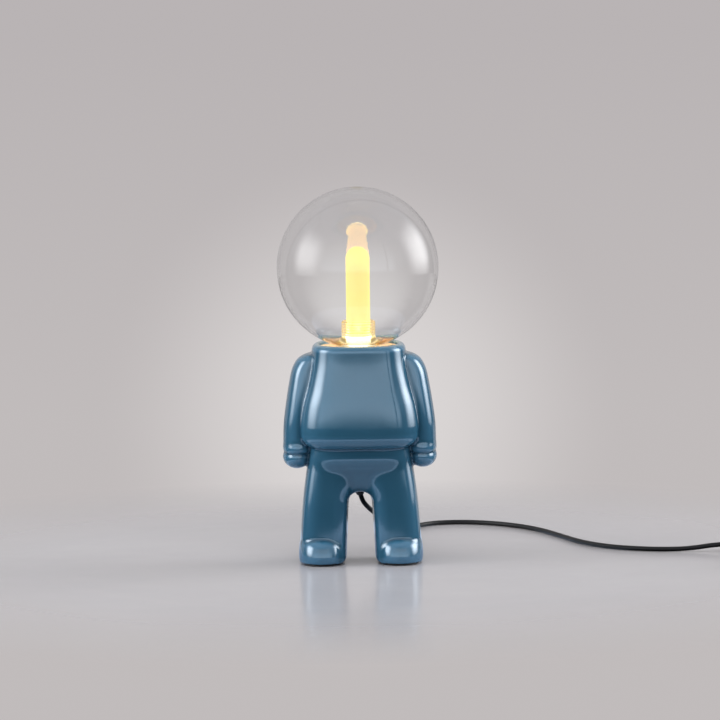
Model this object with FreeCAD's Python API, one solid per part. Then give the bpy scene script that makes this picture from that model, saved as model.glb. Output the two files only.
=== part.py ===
import FreeCAD, Part

import math
import os

# Table lamp: a hollow glazed ceramic figure in a puffy suit carries a clear glass globe, which
# screws on to a lampholder in the figure's mouth. A frosted tube lamp stands in the globe.
# Millimetres. +Z is up, the figure faces -Y, and the origin is on the globe's axis at the floor.

V = FreeCAD.Vector
UP = V(0, 0, 1)

# Casting: the overall figure
WALL = 5.5
PAD_THICKNESS = 2.0
RIM_TOP = 204.5
HEM_HEIGHT = 109.0
COLLAR_WIDTH = 86.0
COLLAR_DEPTH = 86.0
COLLAR_ROUND = 5.0
BELLY_WIDTH = 113.0
BELLY_DEPTH = 95.0
HEM_ROUND = 13.0
RIM_ROUND = 1.5

# Casting: sleeves and gloves, which stand out of the jacket's sides
SLEEVE_PROUD = 14.5
SLEEVE_WIDTH = 29.0
SLEEVE_DEPTH = 46.0
SLEEVE_END = 104.0
SHOULDER_DROP = 9.0
SHOULDER_ROUND = 6.0
CUFF_ROUND = 3.5
CUFF_BOTTOM = 97.0
CUFF_HEIGHT = 17.0
CUFF_WIDTH = 27.0
CUFF_DEPTH = 43.5
GLOVE_BOTTOM = 87.2
GLOVE_HEIGHT = 18.5
GLOVE_WIDTH = 24.5
GLOVE_DEPTH = 38.5

# Casting: hips, legs and boots
HIP_WIDTH = 91.0
HIP_DEPTH = 43.0
CROTCH_DEPTH = 54.0
LEG_TOP = 103.5
LEG_ROUND = 10.0
LEG_DEPTH = 57.0
LEG_OUTER_TOP = 46.5
LEG_OUTER_FOOT = 56.5
LEG_INNER_TOP = 2.5
LEG_INNER_FOOT = 7.5
BOOT_WIDTH = 43.0
BOOT_HEIGHT = 26.0
BOOT_LENGTH = 67.0
TOE_REACH = 38.0
BOOT_SPACING = 72.0
ARCH_TOP = 66.5
ARCH_WIDTH = 20.0
ARCH_FOOT_WIDTH = 28.0
ARCH_FLARE = 7.0
ARCH_LIFT = 7.0

# Mouth of the casting and what closes it
MOUTH_RADIUS = 36.0
MOUTH_DEPTH = 19.8
LEDGE_BORE = 29.0
LEDGE_THICKNESS = 5.5
GASKET_THICKNESS = 0.8
PLATE_THICKNESS = 1.5
PLATE_CLEARANCE = 0.6
CLAMP_LENGTH = 68.0
CLAMP_WIDTH = 14.0
CLAMP_THICKNESS = 2.5
STEM_RADIUS = 4.95
STEM_BORE = 3.8
STEM_CLEARANCE = 0.1
STEM_LENGTH = 21.0
STEM_SINK = 1.0
WASHER_RADIUS = 9.0
WASHER_THICKNESS = 1.2
NUT_WIDTH = 14.0
NUT_HEIGHT = 5.0

# Lampholder
CUP_RADIUS = 12.5
CUP_HEIGHT = 24.0
CUP_FLOOR = 3.0
CUP_SHOULDER = 7.5
CUP_WALL = 1.9
WIRE_WELL_RADIUS = 6.0
INSERT_CLEARANCE = 0.2
INSERT_SINK = 0.7
SOCKET_LENGTH = 15.2
SOCKET_WIDTH = 10.2
SOCKET_DEPTH = 8.0
PIN_SPACING = 9.0
SLOT_X = 2.4
SLOT_Y = 4.2
CONTACT_THICKNESS = 0.4
CONTACT_WIDTH = 3.0
HOLDER_SCREW_RADIUS = 1.25
HOLDER_SCREW_HEAD = 2.0
HOLDER_SCREW_SINK = 1.8
SCREW_CLEARANCE = 0.05
RING_RADIUS = 17.0
RING_THICKNESS = 2.2
RING_NOTCHES = 8
THREAD_LENGTH = 9.0
THREAD_PITCH = 2.5
THREAD_CLEARANCE = 0.3
CUSHION_RADIUS = 16.5
CUSHION_THICKNESS = 1.8
SEAT_GAP = 0.02

# Globe
GLOBE_RADIUS = 75.0
GLASS_WALL = 2.5
NECK_WALL = 2.8
NECK_HEIGHT = 24.0
GLOBE_FOOT_RADIUS = 15.4
NECK_FILLET = 6.5

# Lamp
BULB_RADIUS = 11.1
BULB_GLASS = 1.0
BULB_HEIGHT = 81.5
BULB_FLANGE = 1.7
FLANGE_REST = 0.5
BULB_PLUG = 4.0
STUB_CLEARANCE = 0.3
FLANGE_CLEARANCE = 0.3
PIN_LENGTH = 6.0
PIN_WIRE = 0.45
PIN_LOOP = 2.8
BOARD_WIDTH = 9.0
BOARD_THICKNESS = 1.6
BOARD_HEIGHT = 62.0

# Cord
CORD_RADIUS = 2.25
CORD_CLEARANCE = 0.1
GLAND_NOSE = 4.5
GLAND_NOSE_TIP = 3.5
GLAND_FLANGE = 5.8
GLAND_FLANGE_THICKNESS = 1.5
GLAND_BODY = 4.4
GLAND_LENGTH = 22.0
GLAND_NUT_WIDTH = 12.0
GLAND_NUT_HEIGHT = 4.0
WIRE_RADIUS = 0.8
TERMINAL_WIDTH = 18.0
TERMINAL_DEPTH = 12.0
TERMINAL_HEIGHT = 16.0
TERMINAL_SCREW = 1.6

# Route of the free cord: from the gland, down behind the figure's left leg, over the floor
LEAD_POINTS = [
    (0.0, 15.0, 62.0),
    (1.3, 18.2, 55.5),
    (6.2, 25.6, 48.2),
    (13.5, 36.5, 40.5),
    (24.0, 55.0, 28.0),
    (34.0, 80.0, 14.5),
    (40.0, 110.0, 5.5),
    (43.0, 146.0, 2.3),
    (44.0, 182.0, 2.4),
    (48.0, 217.0, 2.3),
    (64.0, 246.0, 2.4),
    (92.0, 257.0, 2.3),
    (124.0, 247.0, 2.4),
    (153.0, 223.0, 2.3),
    (176.0, 186.0, 2.4),
    (194.0, 139.0, 2.3),
    (211.0, 93.0, 2.4),
    (240.0, 57.0, 2.3),
    (281.0, 39.0, 2.4),
    (309.0, 38.3, 3.0),
    (334.0, 40.0, 6.5),
    (358.0, 40.0, 6.5),
]
LINK_POINTS = [(400.0, 40.0, 6.5), (414.8, 40.0, 6.5), (427.8, 33.3, 5.3), (435.6, 20.8, 4.0)]
TAIL_POINTS = [(437.0, -47.5, 7.6), (431.0, -59.5, 7.1), (419.4, -66.2, 6.8), (406.0, -66.2, 6.8)]
FLOOR = 0.0

# Coil of the length that isn't in use, and its tie
COIL_CENTRE = (404.0, -12.0)
COIL_RADIUS = 32.0
COIL_PITCH = 2 * CORD_RADIUS + 0.5
COIL_LAYER = 2 * CORD_RADIUS + 0.45
COIL_QUARTERS = 11
TIE_THICKNESS = 0.8
TIE_WIDTH = 9.0
TIE_CLEARANCE = 0.5
COIL_SEAT = 0.05

# In-line switch
SWITCH_LENGTH = 60.0
SWITCH_WIDTH = 25.0
SWITCH_HEIGHT = 15.0
SWITCH_WALL = 1.8
SWITCH_SPLIT = 6.5
SWITCH_GRIP = 10.0
ROCKER_LENGTH = 21.0
ROCKER_WIDTH = 11.0
ROCKER_CLEARANCE = 0.4
ROCKER_TILT = 9.0
ROCKER_PIVOT = 10.5
TRUNNION_RADIUS = 1.2
TRUNNION_CLEARANCE = 0.06
TRUNNION_LENGTH = 2.2
SWITCH_SCREW_RADIUS = 1.2
SWITCH_SCREW_HEAD = 2.1

# Plug
PLUG_WIDTH = 35.0
PLUG_THICKNESS = 13.6
PLUG_LENGTH = 30.0
PLUG_NECK_WIDTH = 15.0
PLUG_NECK_THICKNESS = 11.0
PLUG_PIN_SPACING = 19.0
PLUG_PIN_RADIUS = 2.0
PLUG_PIN_LENGTH = 19.0
SLEEVE_LENGTH = 10.0
PIN_CORE_RADIUS = 1.5
PLUG_SLEEVE_RADIUS = 1.8
PIN_ROOT = 10.0
RELIEF_LENGTH = 22.0
RELIEF_GRIP = 8.0
RELIEF_ROOT = 4.6
RELIEF_TIP = 3.4

# Heights that follow from the sizes above
LEDGE_TOP = RIM_TOP - MOUTH_DEPTH
LEDGE_UNDER = LEDGE_TOP - LEDGE_THICKNESS
PLATE_BOTTOM = LEDGE_TOP + GASKET_THICKNESS
PLATE_TOP = PLATE_BOTTOM + PLATE_THICKNESS
CUP_TOP = PLATE_TOP + CUP_HEIGHT
INSERT_BOTTOM = PLATE_TOP + CUP_SHOULDER
INSERT_TOP = CUP_TOP - INSERT_SINK
SOCKET_FLOOR = INSERT_TOP - SOCKET_DEPTH
NECK_BORE = CUP_RADIUS + THREAD_CLEARANCE
NECK_RADIUS = NECK_BORE + NECK_WALL
GLOBE_FOOT = CUP_TOP - THREAD_LENGTH - 0.5
CUSHION_TOP = GLOBE_FOOT - SEAT_GAP
RING_TOP = CUSHION_TOP - CUSHION_THICKNESS
GLOBE_CENTRE = GLOBE_FOOT + math.sqrt(GLOBE_RADIUS ** 2 - GLOBE_FOOT_RADIUS ** 2)
FLANGE_BOTTOM = CUP_TOP + FLANGE_CLEARANCE
FLANGE_RADIUS = max(BULB_RADIUS, CUP_RADIUS - CUP_WALL + FLANGE_REST)
BULB_FOOT = FLANGE_BOTTOM + BULB_FLANGE
CLAMP_BOTTOM = LEDGE_UNDER - CLAMP_THICKNESS
WASHER_BOTTOM = CLAMP_BOTTOM - WASHER_THICKNESS
STEM_TOP = PLATE_TOP + CUP_FLOOR - STEM_SINK

TURN = 2 * math.pi
parts = {}


# Solids and outlines
def cylinder(radius, low, high, x=0.0, y=0.0):
    return Part.makeCylinder(radius, high - low, V(x, y, low))


def tube(outer, inner, low, high, x=0.0, y=0.0):
    return cylinder(outer, low, high, x, y).cut(cylinder(inner, low, high, x, y))


def box(x0, x1, y0, y1, z0, z1):
    return Part.makeBox(x1 - x0, y1 - y0, z1 - z0, V(x0, y0, z0))


def hexagon(width, low, high, x=0.0, y=0.0):
    corner = width / math.sqrt(3)
    angles = [TURN * k / 6 for k in range(7)]
    outline = Part.makePolygon([V(x + corner * math.cos(a), y + corner * math.sin(a), low) for a in angles])
    return Part.Face(outline).extrude(V(0, 0, high - low))


def mirrored(shape):
    return shape.mirror(V(0, 0, 0), V(1, 0, 0))


def joined(shapes):
    whole = shapes[0]
    for shape in shapes[1:]:
        whole = whole.fuse(shape)
    return whole


def signed_power(value, power):
    return math.copysign(abs(value) ** power, value)


def ring(z, half_x, half_y, x=0.0, y=0.0, squareness=2.6, count=16):
    """A level closed outline between an ellipse (squareness 2) and a rectangle."""
    points = []
    for k in range(count):
        angle = TURN * k / count
        across = half_x * signed_power(math.cos(angle), 2 / squareness)
        along = half_y * signed_power(math.sin(angle), 2 / squareness)
        points.append(V(x + across, y + along, z))
    curve = Part.BSplineCurve()
    curve.interpolate(Points=points, PeriodicFlag=True)
    return Part.Wire(curve.toShape())


def loft(rings):
    return Part.makeLoft(rings, True, False)


def level_edges(shape, height):
    """The edges that lie wholly at one height."""
    return [e for e in shape.Edges if e.BoundBox.ZLength < 0.01 and abs(e.BoundBox.ZMin - height) < 0.01]


def rounded(shape, height, radius):
    return shape.makeFillet(radius, level_edges(shape, height))


def between(low, high, share):
    return low + (high - low) * share


def along(line, share):
    """The value at a share of the way up, on a smooth curve through (share, value) pairs."""
    spots = [line[0]] + line + [line[-1]]
    place = max([k for k in range(1, len(spots) - 2) if spots[k][0] <= share + 1e-9], default=1)
    (s0, v0), (s1, v1), (s2, v2), (s3, v3) = spots[place - 1:place + 3]
    width = s2 - s1
    t = (share - s1) / width
    leaving = (v2 - v0) / (s2 - s0) * width
    arriving = (v3 - v1) / (s3 - s1) * width
    start = v1 * (1 + 2 * t) * (1 - t) ** 2 + leaving * t * (1 - t) ** 2
    return start + v2 * t * t * (3 - 2 * t) - arriving * t * t * (1 - t)


def end_levels(height, radius):
    """(height, inset) pairs of one half of a tower: its quarter round, then steps that widen."""
    steps = [math.radians(22.5 * k) for k in range(5)]
    levels = [(radius * (1 - math.cos(a)), radius * (1 - math.sin(a))) for a in steps] if radius else [(0.0, 0.0)]
    step = radius * 0.38 if radius else height / 15
    while levels[-1][0] + 1.7 * step < height / 2:
        step = min(1.4 * step, height / 9)
        levels.append((levels[-1][0] + step, 0.0))
    return levels


def tower(outline, low, high, low_round=0.0, high_round=0.0):
    """A smooth loft from low to high. outline(z, share, inset) gives the ring at one height."""
    height = high - low
    lower = end_levels(height, low_round)
    upper = [(height - z, inset) for z, inset in reversed(end_levels(height, high_round))]
    start, gap = lower[-1][0], upper[0][0] - lower[-1][0]
    parts = max(1, round(gap * 9 / height))
    middle = [(start + gap * k / parts, 0.0) for k in range(1, parts)]
    return loft([outline(low + z, z / height, inset) for z, inset in lower + middle + upper])


# Casting
BULGE = [(0.0, 0.9), (0.09, 0.96), (0.22, 1.0), (0.42, 0.8), (0.62, 0.42), (0.82, 0.13), (1.0, 0.0)]


def jacket_ring(z, share, inset):
    bulge = along(BULGE, share)
    half_x = between(COLLAR_WIDTH, BELLY_WIDTH, bulge) / 2
    half_y = between(COLLAR_DEPTH, BELLY_DEPTH, bulge) / 2
    return ring(z, half_x - inset, half_y - inset, squareness=3.0)


def jacket_outside():
    return tower(jacket_ring, HEM_HEIGHT, RIM_TOP, HEM_ROUND, COLLAR_ROUND)


def inside_of(outline):
    """The same outline drawn in by the wall."""
    return lambda z, share, inset: outline(z, share, inset + WALL)


def jacket_inside():
    """The hollow of the jacket, up to the ledge's underside."""
    span = BELLY_WIDTH
    body = tower(inside_of(jacket_ring), HEM_HEIGHT, RIM_TOP, HEM_ROUND)
    return body.common(box(-span, span, -span, span, HEM_HEIGHT + WALL, LEDGE_UNDER))


# How far out the sleeve stands on its way up, from the cuff to the shoulder
REACH = [(0.0, 0.98), (0.13, 1.0), (0.3, 0.97), (0.48, 0.87), (0.68, 0.73), (0.84, 0.58), (0.93, 0.38), (1.0, 0.1)]


def sleeve_ring(z, share, inset):
    """The wearer's left sleeve at one height."""
    widest = BELLY_WIDTH / 2 + SLEEVE_PROUD
    narrowest = COLLAR_WIDTH / 2 + SLEEVE_PROUD / 2
    fullness = between(0.9, 1.0, math.sin(math.pi * share))
    half = SLEEVE_WIDTH / 2 * fullness
    outer = between(narrowest, widest, along(REACH, share))
    return ring(z, half - inset, SLEEVE_DEPTH / 2 * fullness - inset, outer - half, 0.0, 2.3)


def sleeve_outside():
    return tower(sleeve_ring, SLEEVE_END, RIM_TOP - SHOULDER_DROP, CUFF_ROUND, SHOULDER_ROUND)


def sleeve_inside():
    span = BELLY_WIDTH
    arm = tower(inside_of(sleeve_ring), SLEEVE_END, RIM_TOP - SHOULDER_DROP)
    top = RIM_TOP - SHOULDER_DROP - 2 * WALL
    return arm.common(box(0, span, -span, span, SLEEVE_END + 2 * WALL, min(top, LEDGE_UNDER)))


def arm_ball(width, depth, bottom, height):
    """A ball drawn out front to back, flush with the widest part of the sleeve."""
    stretch = FreeCAD.Matrix()
    stretch.scale(width / 2, depth / 2, height / 2)
    ball = Part.makeSphere(1.0).transformGeometry(stretch)
    ball.translate(V(BELLY_WIDTH / 2 + SLEEVE_PROUD - width / 2, 0, bottom + height / 2))
    return ball


def cuff():
    return arm_ball(CUFF_WIDTH, CUFF_DEPTH, CUFF_BOTTOM, CUFF_HEIGHT)


def glove():
    """A closed hand, half inside the cuff."""
    return arm_ball(GLOVE_WIDTH, GLOVE_DEPTH, GLOVE_BOTTOM, GLOVE_HEIGHT)


def leg_ring(z, share, inset):
    """One trouser leg at one height. The two legs stand closer together towards the hips."""
    rise = (z - PAD_THICKNESS) / (LEG_TOP - PAD_THICKNESS)
    outer = between(LEG_OUTER_FOOT, LEG_OUTER_TOP, rise ** 2)
    inner = between(LEG_INNER_FOOT, LEG_INNER_TOP, rise ** 2)
    return ring(z, (outer - inner) / 2 - inset, LEG_DEPTH / 2 - inset, (outer + inner) / 2, 0.0, 3.2)


def leg_outside():
    return tower(leg_ring, PAD_THICKNESS, LEG_TOP, 0.0, LEG_ROUND)


def leg_inside():
    """The hollow of one leg. It stops short of the gap between the legs."""
    hollow = tower(inside_of(leg_ring), PAD_THICKNESS + WALL, HEM_HEIGHT)
    half = ARCH_FOOT_WIDTH / 2 + WALL
    return hollow.cut(box(-half, half, -LEG_DEPTH, LEG_DEPTH, 0, ARCH_TOP + WALL))


TOE_LINE = [(0.0, 2.2, 0.5), (0.13, 0.4, 0.0), (0.34, 0.0, 0.0), (0.56, 1.4, 0.5), (0.76, 4.4, 1.6), (1.0, 11.0, 5.0)]


def boot():
    """One boot: its toe cap stands out under the trouser leg and rounds back into it."""
    rings = []
    for share, drawn_back, drawn_in in TOE_LINE:
        z = between(PAD_THICKNESS, PAD_THICKNESS + BOOT_HEIGHT, share)
        front = drawn_back - TOE_REACH
        back = BOOT_LENGTH - TOE_REACH - drawn_in / 2
        rings.append(ring(z, BOOT_WIDTH / 2 - drawn_in, (back - front) / 2, BOOT_SPACING / 2, (back + front) / 2, 2.5))
    return loft(rings)


def arch_outline(y, flare):
    """Outline of the gap between the legs in the plane at y: two sides and a round top."""
    half = ARCH_WIDTH / 2 + ARCH_FLARE * flare
    top = ARCH_TOP + ARCH_LIFT * flare
    foot = max(half, ARCH_FOOT_WIDTH / 2)
    left, right = V(-half, y, top - half), V(half, y, top - half)
    foot_left, foot_right = V(-foot, y, -5.0), V(foot, y, -5.0)
    crown = Part.Arc(left, V(0, y, top), right).toShape()
    sides = [(right, foot_right), (foot_right, foot_left), (foot_left, left)]
    return Part.Wire([crown] + [Part.LineSegment(a, b).toShape() for a, b in sides])


def arch():
    """The gap between the legs, whose edges flare out at the front and the back."""
    reach = LEG_DEPTH / 2
    flares = [(-1.6, 2.0), (-1.05, 1.0), (-0.8, 0.42), (-0.45, 0.06), (0.0, 0.0),
              (0.45, 0.06), (0.8, 0.42), (1.05, 1.0), (1.6, 2.0)]
    return loft([arch_outline(share * reach, flare) for share, flare in flares])


HIP_LINE = [(0.0, 0.0), (0.2, 0.04), (0.42, 0.3), (0.6, 0.8), (0.8, 1.0), (1.0, 1.0)]


def hips(skin, low):
    """The block between the legs. It draws in from the crotch up to the waist."""
    rings = []
    for share, fullness in HIP_LINE:
        half_y = between(CROTCH_DEPTH, HIP_DEPTH, fullness) / 2
        z = between(low, HEM_HEIGHT + HEM_ROUND, share)
        rings.append(ring(z, HIP_WIDTH / 2 - skin, half_y - skin, squareness=2.8))
    return loft(rings)


def mouth():
    """The round opening: a bore through the ledge, a wide well above it and a rounded rim."""
    rim_start = V(MOUTH_RADIUS, 0, RIM_TOP - RIM_ROUND)
    rim_end = V(MOUTH_RADIUS + RIM_ROUND, 0, RIM_TOP)
    rim_middle = V(MOUTH_RADIUS + RIM_ROUND * 0.293, 0, RIM_TOP - RIM_ROUND * 0.293)
    top = RIM_TOP + 1
    corners = [rim_end, V(rim_end.x, 0, top), V(0, 0, top), V(0, 0, LEDGE_UNDER - 1), V(LEDGE_BORE, 0, LEDGE_UNDER - 1),
               V(LEDGE_BORE, 0, LEDGE_TOP), V(MOUTH_RADIUS, 0, LEDGE_TOP), rim_start]
    edges = [Part.LineSegment(a, b).toShape() for a, b in zip(corners, corners[1:])]
    edges.append(Part.Arc(rim_start, rim_middle, rim_end).toShape())
    return Part.Face(Part.Wire(edges)).revolve(V(0, 0, 0), UP, 360)


def body_casting():
    sides = [sleeve_outside(), cuff(), glove(), leg_outside()]
    figure = joined([jacket_outside(), hips(0.0, ARCH_TOP - WALL)] + sides + [mirrored(s) for s in sides])
    figure = joined([figure.cut(arch()), boot(), mirrored(boot())])
    leg_hollow = leg_inside()
    hip_hollow = hips(WALL, ARCH_TOP + WALL)
    sleeve_hollow = sleeve_inside()
    hollow = joined([jacket_inside(), hip_hollow, leg_hollow, mirrored(leg_hollow),
                     sleeve_hollow, mirrored(sleeve_hollow)])
    figure = figure.cut(hollow)
    return figure.cut(mouth()).cut(gland_hole())


def foot_pad(side):
    rings = [ring(z, BOOT_WIDTH / 2 - 4.0, BOOT_LENGTH / 2 - 5.0, side * BOOT_SPACING / 2,
                  BOOT_LENGTH / 2 - TOE_REACH + 0.6, 2.8) for z in (FLOOR, PAD_THICKNESS)]
    return loft(rings)


# What closes the mouth and clamps the lampholder
def plate_gasket():
    return tube(MOUTH_RADIUS - PLATE_CLEARANCE, LEDGE_BORE + 1, LEDGE_TOP, PLATE_BOTTOM)


def cover_plate():
    plate = cylinder(MOUTH_RADIUS - PLATE_CLEARANCE, PLATE_BOTTOM, PLATE_TOP)
    plate = rounded(plate, PLATE_TOP, PLATE_THICKNESS / 3)
    return plate.cut(cylinder(STEM_RADIUS + STEM_CLEARANCE, PLATE_BOTTOM, PLATE_TOP))


def clamp_bar():
    half = CLAMP_LENGTH / 2 - CLAMP_WIDTH / 2
    bar = box(-half, half, -CLAMP_WIDTH / 2, CLAMP_WIDTH / 2, CLAMP_BOTTOM, LEDGE_UNDER)
    for x in (-half, half):
        bar = bar.fuse(cylinder(CLAMP_WIDTH / 2, CLAMP_BOTTOM, LEDGE_UNDER, x))
    bar = bar.removeSplitter()
    return bar.cut(cylinder(STEM_RADIUS + STEM_CLEARANCE, CLAMP_BOTTOM, LEDGE_UNDER))


def threaded_tube():
    return tube(STEM_RADIUS, STEM_BORE, STEM_TOP - STEM_LENGTH, STEM_TOP)


def lock_washer():
    washer = tube(WASHER_RADIUS, STEM_RADIUS + STEM_CLEARANCE, WASHER_BOTTOM, CLAMP_BOTTOM)
    for k in range(12):
        notch = box(WASHER_RADIUS - 1.5, WASHER_RADIUS + 1, -0.6, 0.6, WASHER_BOTTOM, CLAMP_BOTTOM)
        notch.rotate(V(0, 0, 0), UP, 30 * k)
        washer = washer.cut(notch)
    return washer


def tube_nut():
    top = WASHER_BOTTOM
    nut = hexagon(NUT_WIDTH, top - NUT_HEIGHT, top)
    return nut.cut(cylinder(STEM_RADIUS + STEM_CLEARANCE, top - NUT_HEIGHT, top))


# Lampholder
def lampholder_cup():
    cup = cylinder(CUP_RADIUS, PLATE_TOP, CUP_TOP)
    cup = cup.cut(cylinder(CUP_RADIUS - CUP_WALL, INSERT_BOTTOM, CUP_TOP))
    cup = cup.cut(cylinder(WIRE_WELL_RADIUS, PLATE_TOP + CUP_FLOOR, INSERT_BOTTOM))
    cup = cup.cut(cylinder(STEM_RADIUS + STEM_CLEARANCE, PLATE_TOP, PLATE_TOP + CUP_FLOOR))
    for y in holder_screw_places():
        cup = cup.cut(cylinder(HOLDER_SCREW_RADIUS + SCREW_CLEARANCE, PLATE_TOP + CUP_FLOOR, INSERT_BOTTOM, 0, y))
    return cup


def holder_screw_places():
    reach = (SOCKET_WIDTH / 2 + CUP_RADIUS - CUP_WALL - INSERT_CLEARANCE) / 2
    return (-reach, reach)


def stadium(length, width, low, high):
    """A solid with two flat sides and two round ends, long way along X."""
    half = (length - width) / 2
    middle = box(-half, half, -width / 2, width / 2, low, high)
    ends = [cylinder(width / 2, low, high, x) for x in (-half, half)]
    return joined([middle] + ends).removeSplitter()


def lampholder_insert():
    body = cylinder(CUP_RADIUS - CUP_WALL - INSERT_CLEARANCE, INSERT_BOTTOM, INSERT_TOP)
    body = body.cut(stadium(SOCKET_LENGTH, SOCKET_WIDTH, SOCKET_FLOOR, INSERT_TOP))
    for side in (-1, 1):
        x = side * PIN_SPACING / 2
        body = body.cut(box(x - SLOT_X / 2, x + SLOT_X / 2, -SLOT_Y / 2, SLOT_Y / 2, INSERT_BOTTOM, SOCKET_FLOOR))
    for y in holder_screw_places():
        body = body.cut(cylinder(HOLDER_SCREW_RADIUS + SCREW_CLEARANCE, INSERT_BOTTOM, INSERT_TOP, 0, y))
        body = body.cut(cylinder(HOLDER_SCREW_HEAD + SCREW_CLEARANCE, INSERT_TOP - HOLDER_SCREW_SINK, INSERT_TOP, 0, y))
    return body


def contact_x(side):
    """The two faces of a contact blade, which lies on the outer wall of its slot."""
    outer = side * (PIN_SPACING / 2 + SLOT_X / 2)
    return sorted((outer, outer - side * CONTACT_THICKNESS))


def lampholder_contacts():
    blades = []
    for side in (-1, 1):
        x0, x1 = contact_x(side)
        blades.append(box(x0, x1, -CONTACT_WIDTH / 2, CONTACT_WIDTH / 2, contact_foot(), SOCKET_FLOOR - 0.3))
    return Part.Compound(blades)


def contact_foot():
    return INSERT_BOTTOM - 2.5


def lampholder_screws():
    screws = []
    for y in holder_screw_places():
        head = cylinder(HOLDER_SCREW_HEAD, INSERT_TOP - HOLDER_SCREW_SINK, INSERT_TOP, 0, y)
        shank = cylinder(HOLDER_SCREW_RADIUS, INSERT_BOTTOM - 4.0, INSERT_TOP - HOLDER_SCREW_SINK, 0, y)
        screws.append(head.fuse(shank))
    return Part.Compound(screws)


def shade_ring():
    ring_body = tube(RING_RADIUS, CUP_RADIUS + STEM_CLEARANCE, RING_TOP - RING_THICKNESS, RING_TOP)
    for k in range(RING_NOTCHES):
        notch = cylinder(1.2, RING_TOP - RING_THICKNESS, RING_TOP, RING_RADIUS + 0.3)
        notch.rotate(V(0, 0, 0), UP, 360 * k / RING_NOTCHES)
        ring_body = ring_body.cut(notch)
    return ring_body


def cushion_ring():
    return tube(CUSHION_RADIUS, NECK_BORE, RING_TOP, CUSHION_TOP)


# Globe: a ball with a flat ground foot and a neck that stands up inside it
def glass_globe():
    inner = GLOBE_RADIUS - GLASS_WALL

    def inner_point(radius):
        return V(radius, 0, GLOBE_CENTRE - math.sqrt(inner ** 2 - radius ** 2))

    lip = GLOBE_FOOT + NECK_HEIGHT
    lip_round = NECK_WALL / 2
    blend = inner_point(NECK_RADIUS + NECK_FILLET)
    blend_top = V(NECK_RADIUS, 0, blend.z + NECK_FILLET)
    blend_middle = V(NECK_RADIUS + NECK_FILLET * 0.27, 0, blend.z + NECK_FILLET * 0.3)
    top_inside = V(0, 0, GLOBE_CENTRE + inner)
    top_outside = V(0, 0, GLOBE_CENTRE + GLOBE_RADIUS)
    foot_outside = V(GLOBE_FOOT_RADIUS, 0, GLOBE_FOOT)
    foot_inside = V(NECK_BORE, 0, GLOBE_FOOT)
    bore_top = V(NECK_BORE, 0, lip - lip_round)
    neck_top = V(NECK_RADIUS, 0, lip - lip_round)
    lip_top = V(NECK_BORE + lip_round, 0, lip)
    outline = [
        Part.Arc(top_inside, V(inner, 0, GLOBE_CENTRE), blend),
        Part.Arc(blend, blend_middle, blend_top),
        Part.LineSegment(blend_top, neck_top),
        Part.Arc(neck_top, lip_top, bore_top),
        Part.LineSegment(bore_top, foot_inside),
        Part.LineSegment(foot_inside, foot_outside),
        Part.Arc(foot_outside, V(GLOBE_RADIUS, 0, GLOBE_CENTRE), top_outside),
        Part.LineSegment(top_outside, top_inside),
    ]
    face = Part.Face(Part.Wire([edge.toShape() for edge in outline]))
    return face.revolve(V(0, 0, 0), UP, 360)


# Lamp
def bulb_tube():
    crown = BULB_FOOT + BULB_HEIGHT - BULB_RADIUS
    outside = cylinder(BULB_RADIUS, BULB_FOOT, crown).fuse(Part.makeSphere(BULB_RADIUS, V(0, 0, crown)))
    inner = BULB_RADIUS - BULB_GLASS
    inside = cylinder(inner, BULB_FOOT, crown).fuse(Part.makeSphere(inner, V(0, 0, crown)))
    return outside.removeSplitter().cut(inside.removeSplitter())


def bulb_base():
    length = SOCKET_LENGTH - 2 * STUB_CLEARANCE
    width = SOCKET_WIDTH - 2 * STUB_CLEARANCE
    stub = stadium(length, width, SOCKET_FLOOR + STUB_CLEARANCE, FLANGE_BOTTOM)
    flange = cylinder(FLANGE_RADIUS, FLANGE_BOTTOM, BULB_FOOT)
    plug = cylinder(BULB_RADIUS - BULB_GLASS, BULB_FOOT, BULB_FOOT + BULB_PLUG)
    base = joined([stub, flange, plug])
    slot = box(-BOARD_WIDTH / 2, BOARD_WIDTH / 2, -BOARD_THICKNESS / 2, BOARD_THICKNESS / 2, BULB_FOOT + 1, BULB_FOOT + 9)
    return base.cut(slot)


def bulb_pins():
    """Two bent wire loops that hang from the base's stub."""
    top = SOCKET_FLOOR + STUB_CLEARANCE
    loops = []
    for side in (-1, 1):
        x = side * PIN_SPACING / 2
        half = PIN_LOOP / 2 - PIN_WIRE
        low = top - PIN_LENGTH + PIN_WIRE + half
        path = Part.Wire([
            Part.LineSegment(V(x, -half, top), V(x, -half, low)).toShape(),
            Part.Arc(V(x, -half, low), V(x, 0, low - half), V(x, half, low)).toShape(),
            Part.LineSegment(V(x, half, low), V(x, half, top)).toShape(),
        ])
        section = Part.Wire(Part.makeCircle(PIN_WIRE, V(x, -half, top), UP))
        loops.append(path.makePipeShell([section], True, False))
    return Part.Compound(loops)


def bulb_led_board():
    low = BULB_FOOT + 1
    return box(-BOARD_WIDTH / 2, BOARD_WIDTH / 2, -BOARD_THICKNESS / 2, BOARD_THICKNESS / 2, low, low + BOARD_HEIGHT)


# Cords: straight runs joined by arcs as large as the runs allow
def unit(vector):
    return vector * (1 / vector.Length)


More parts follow.
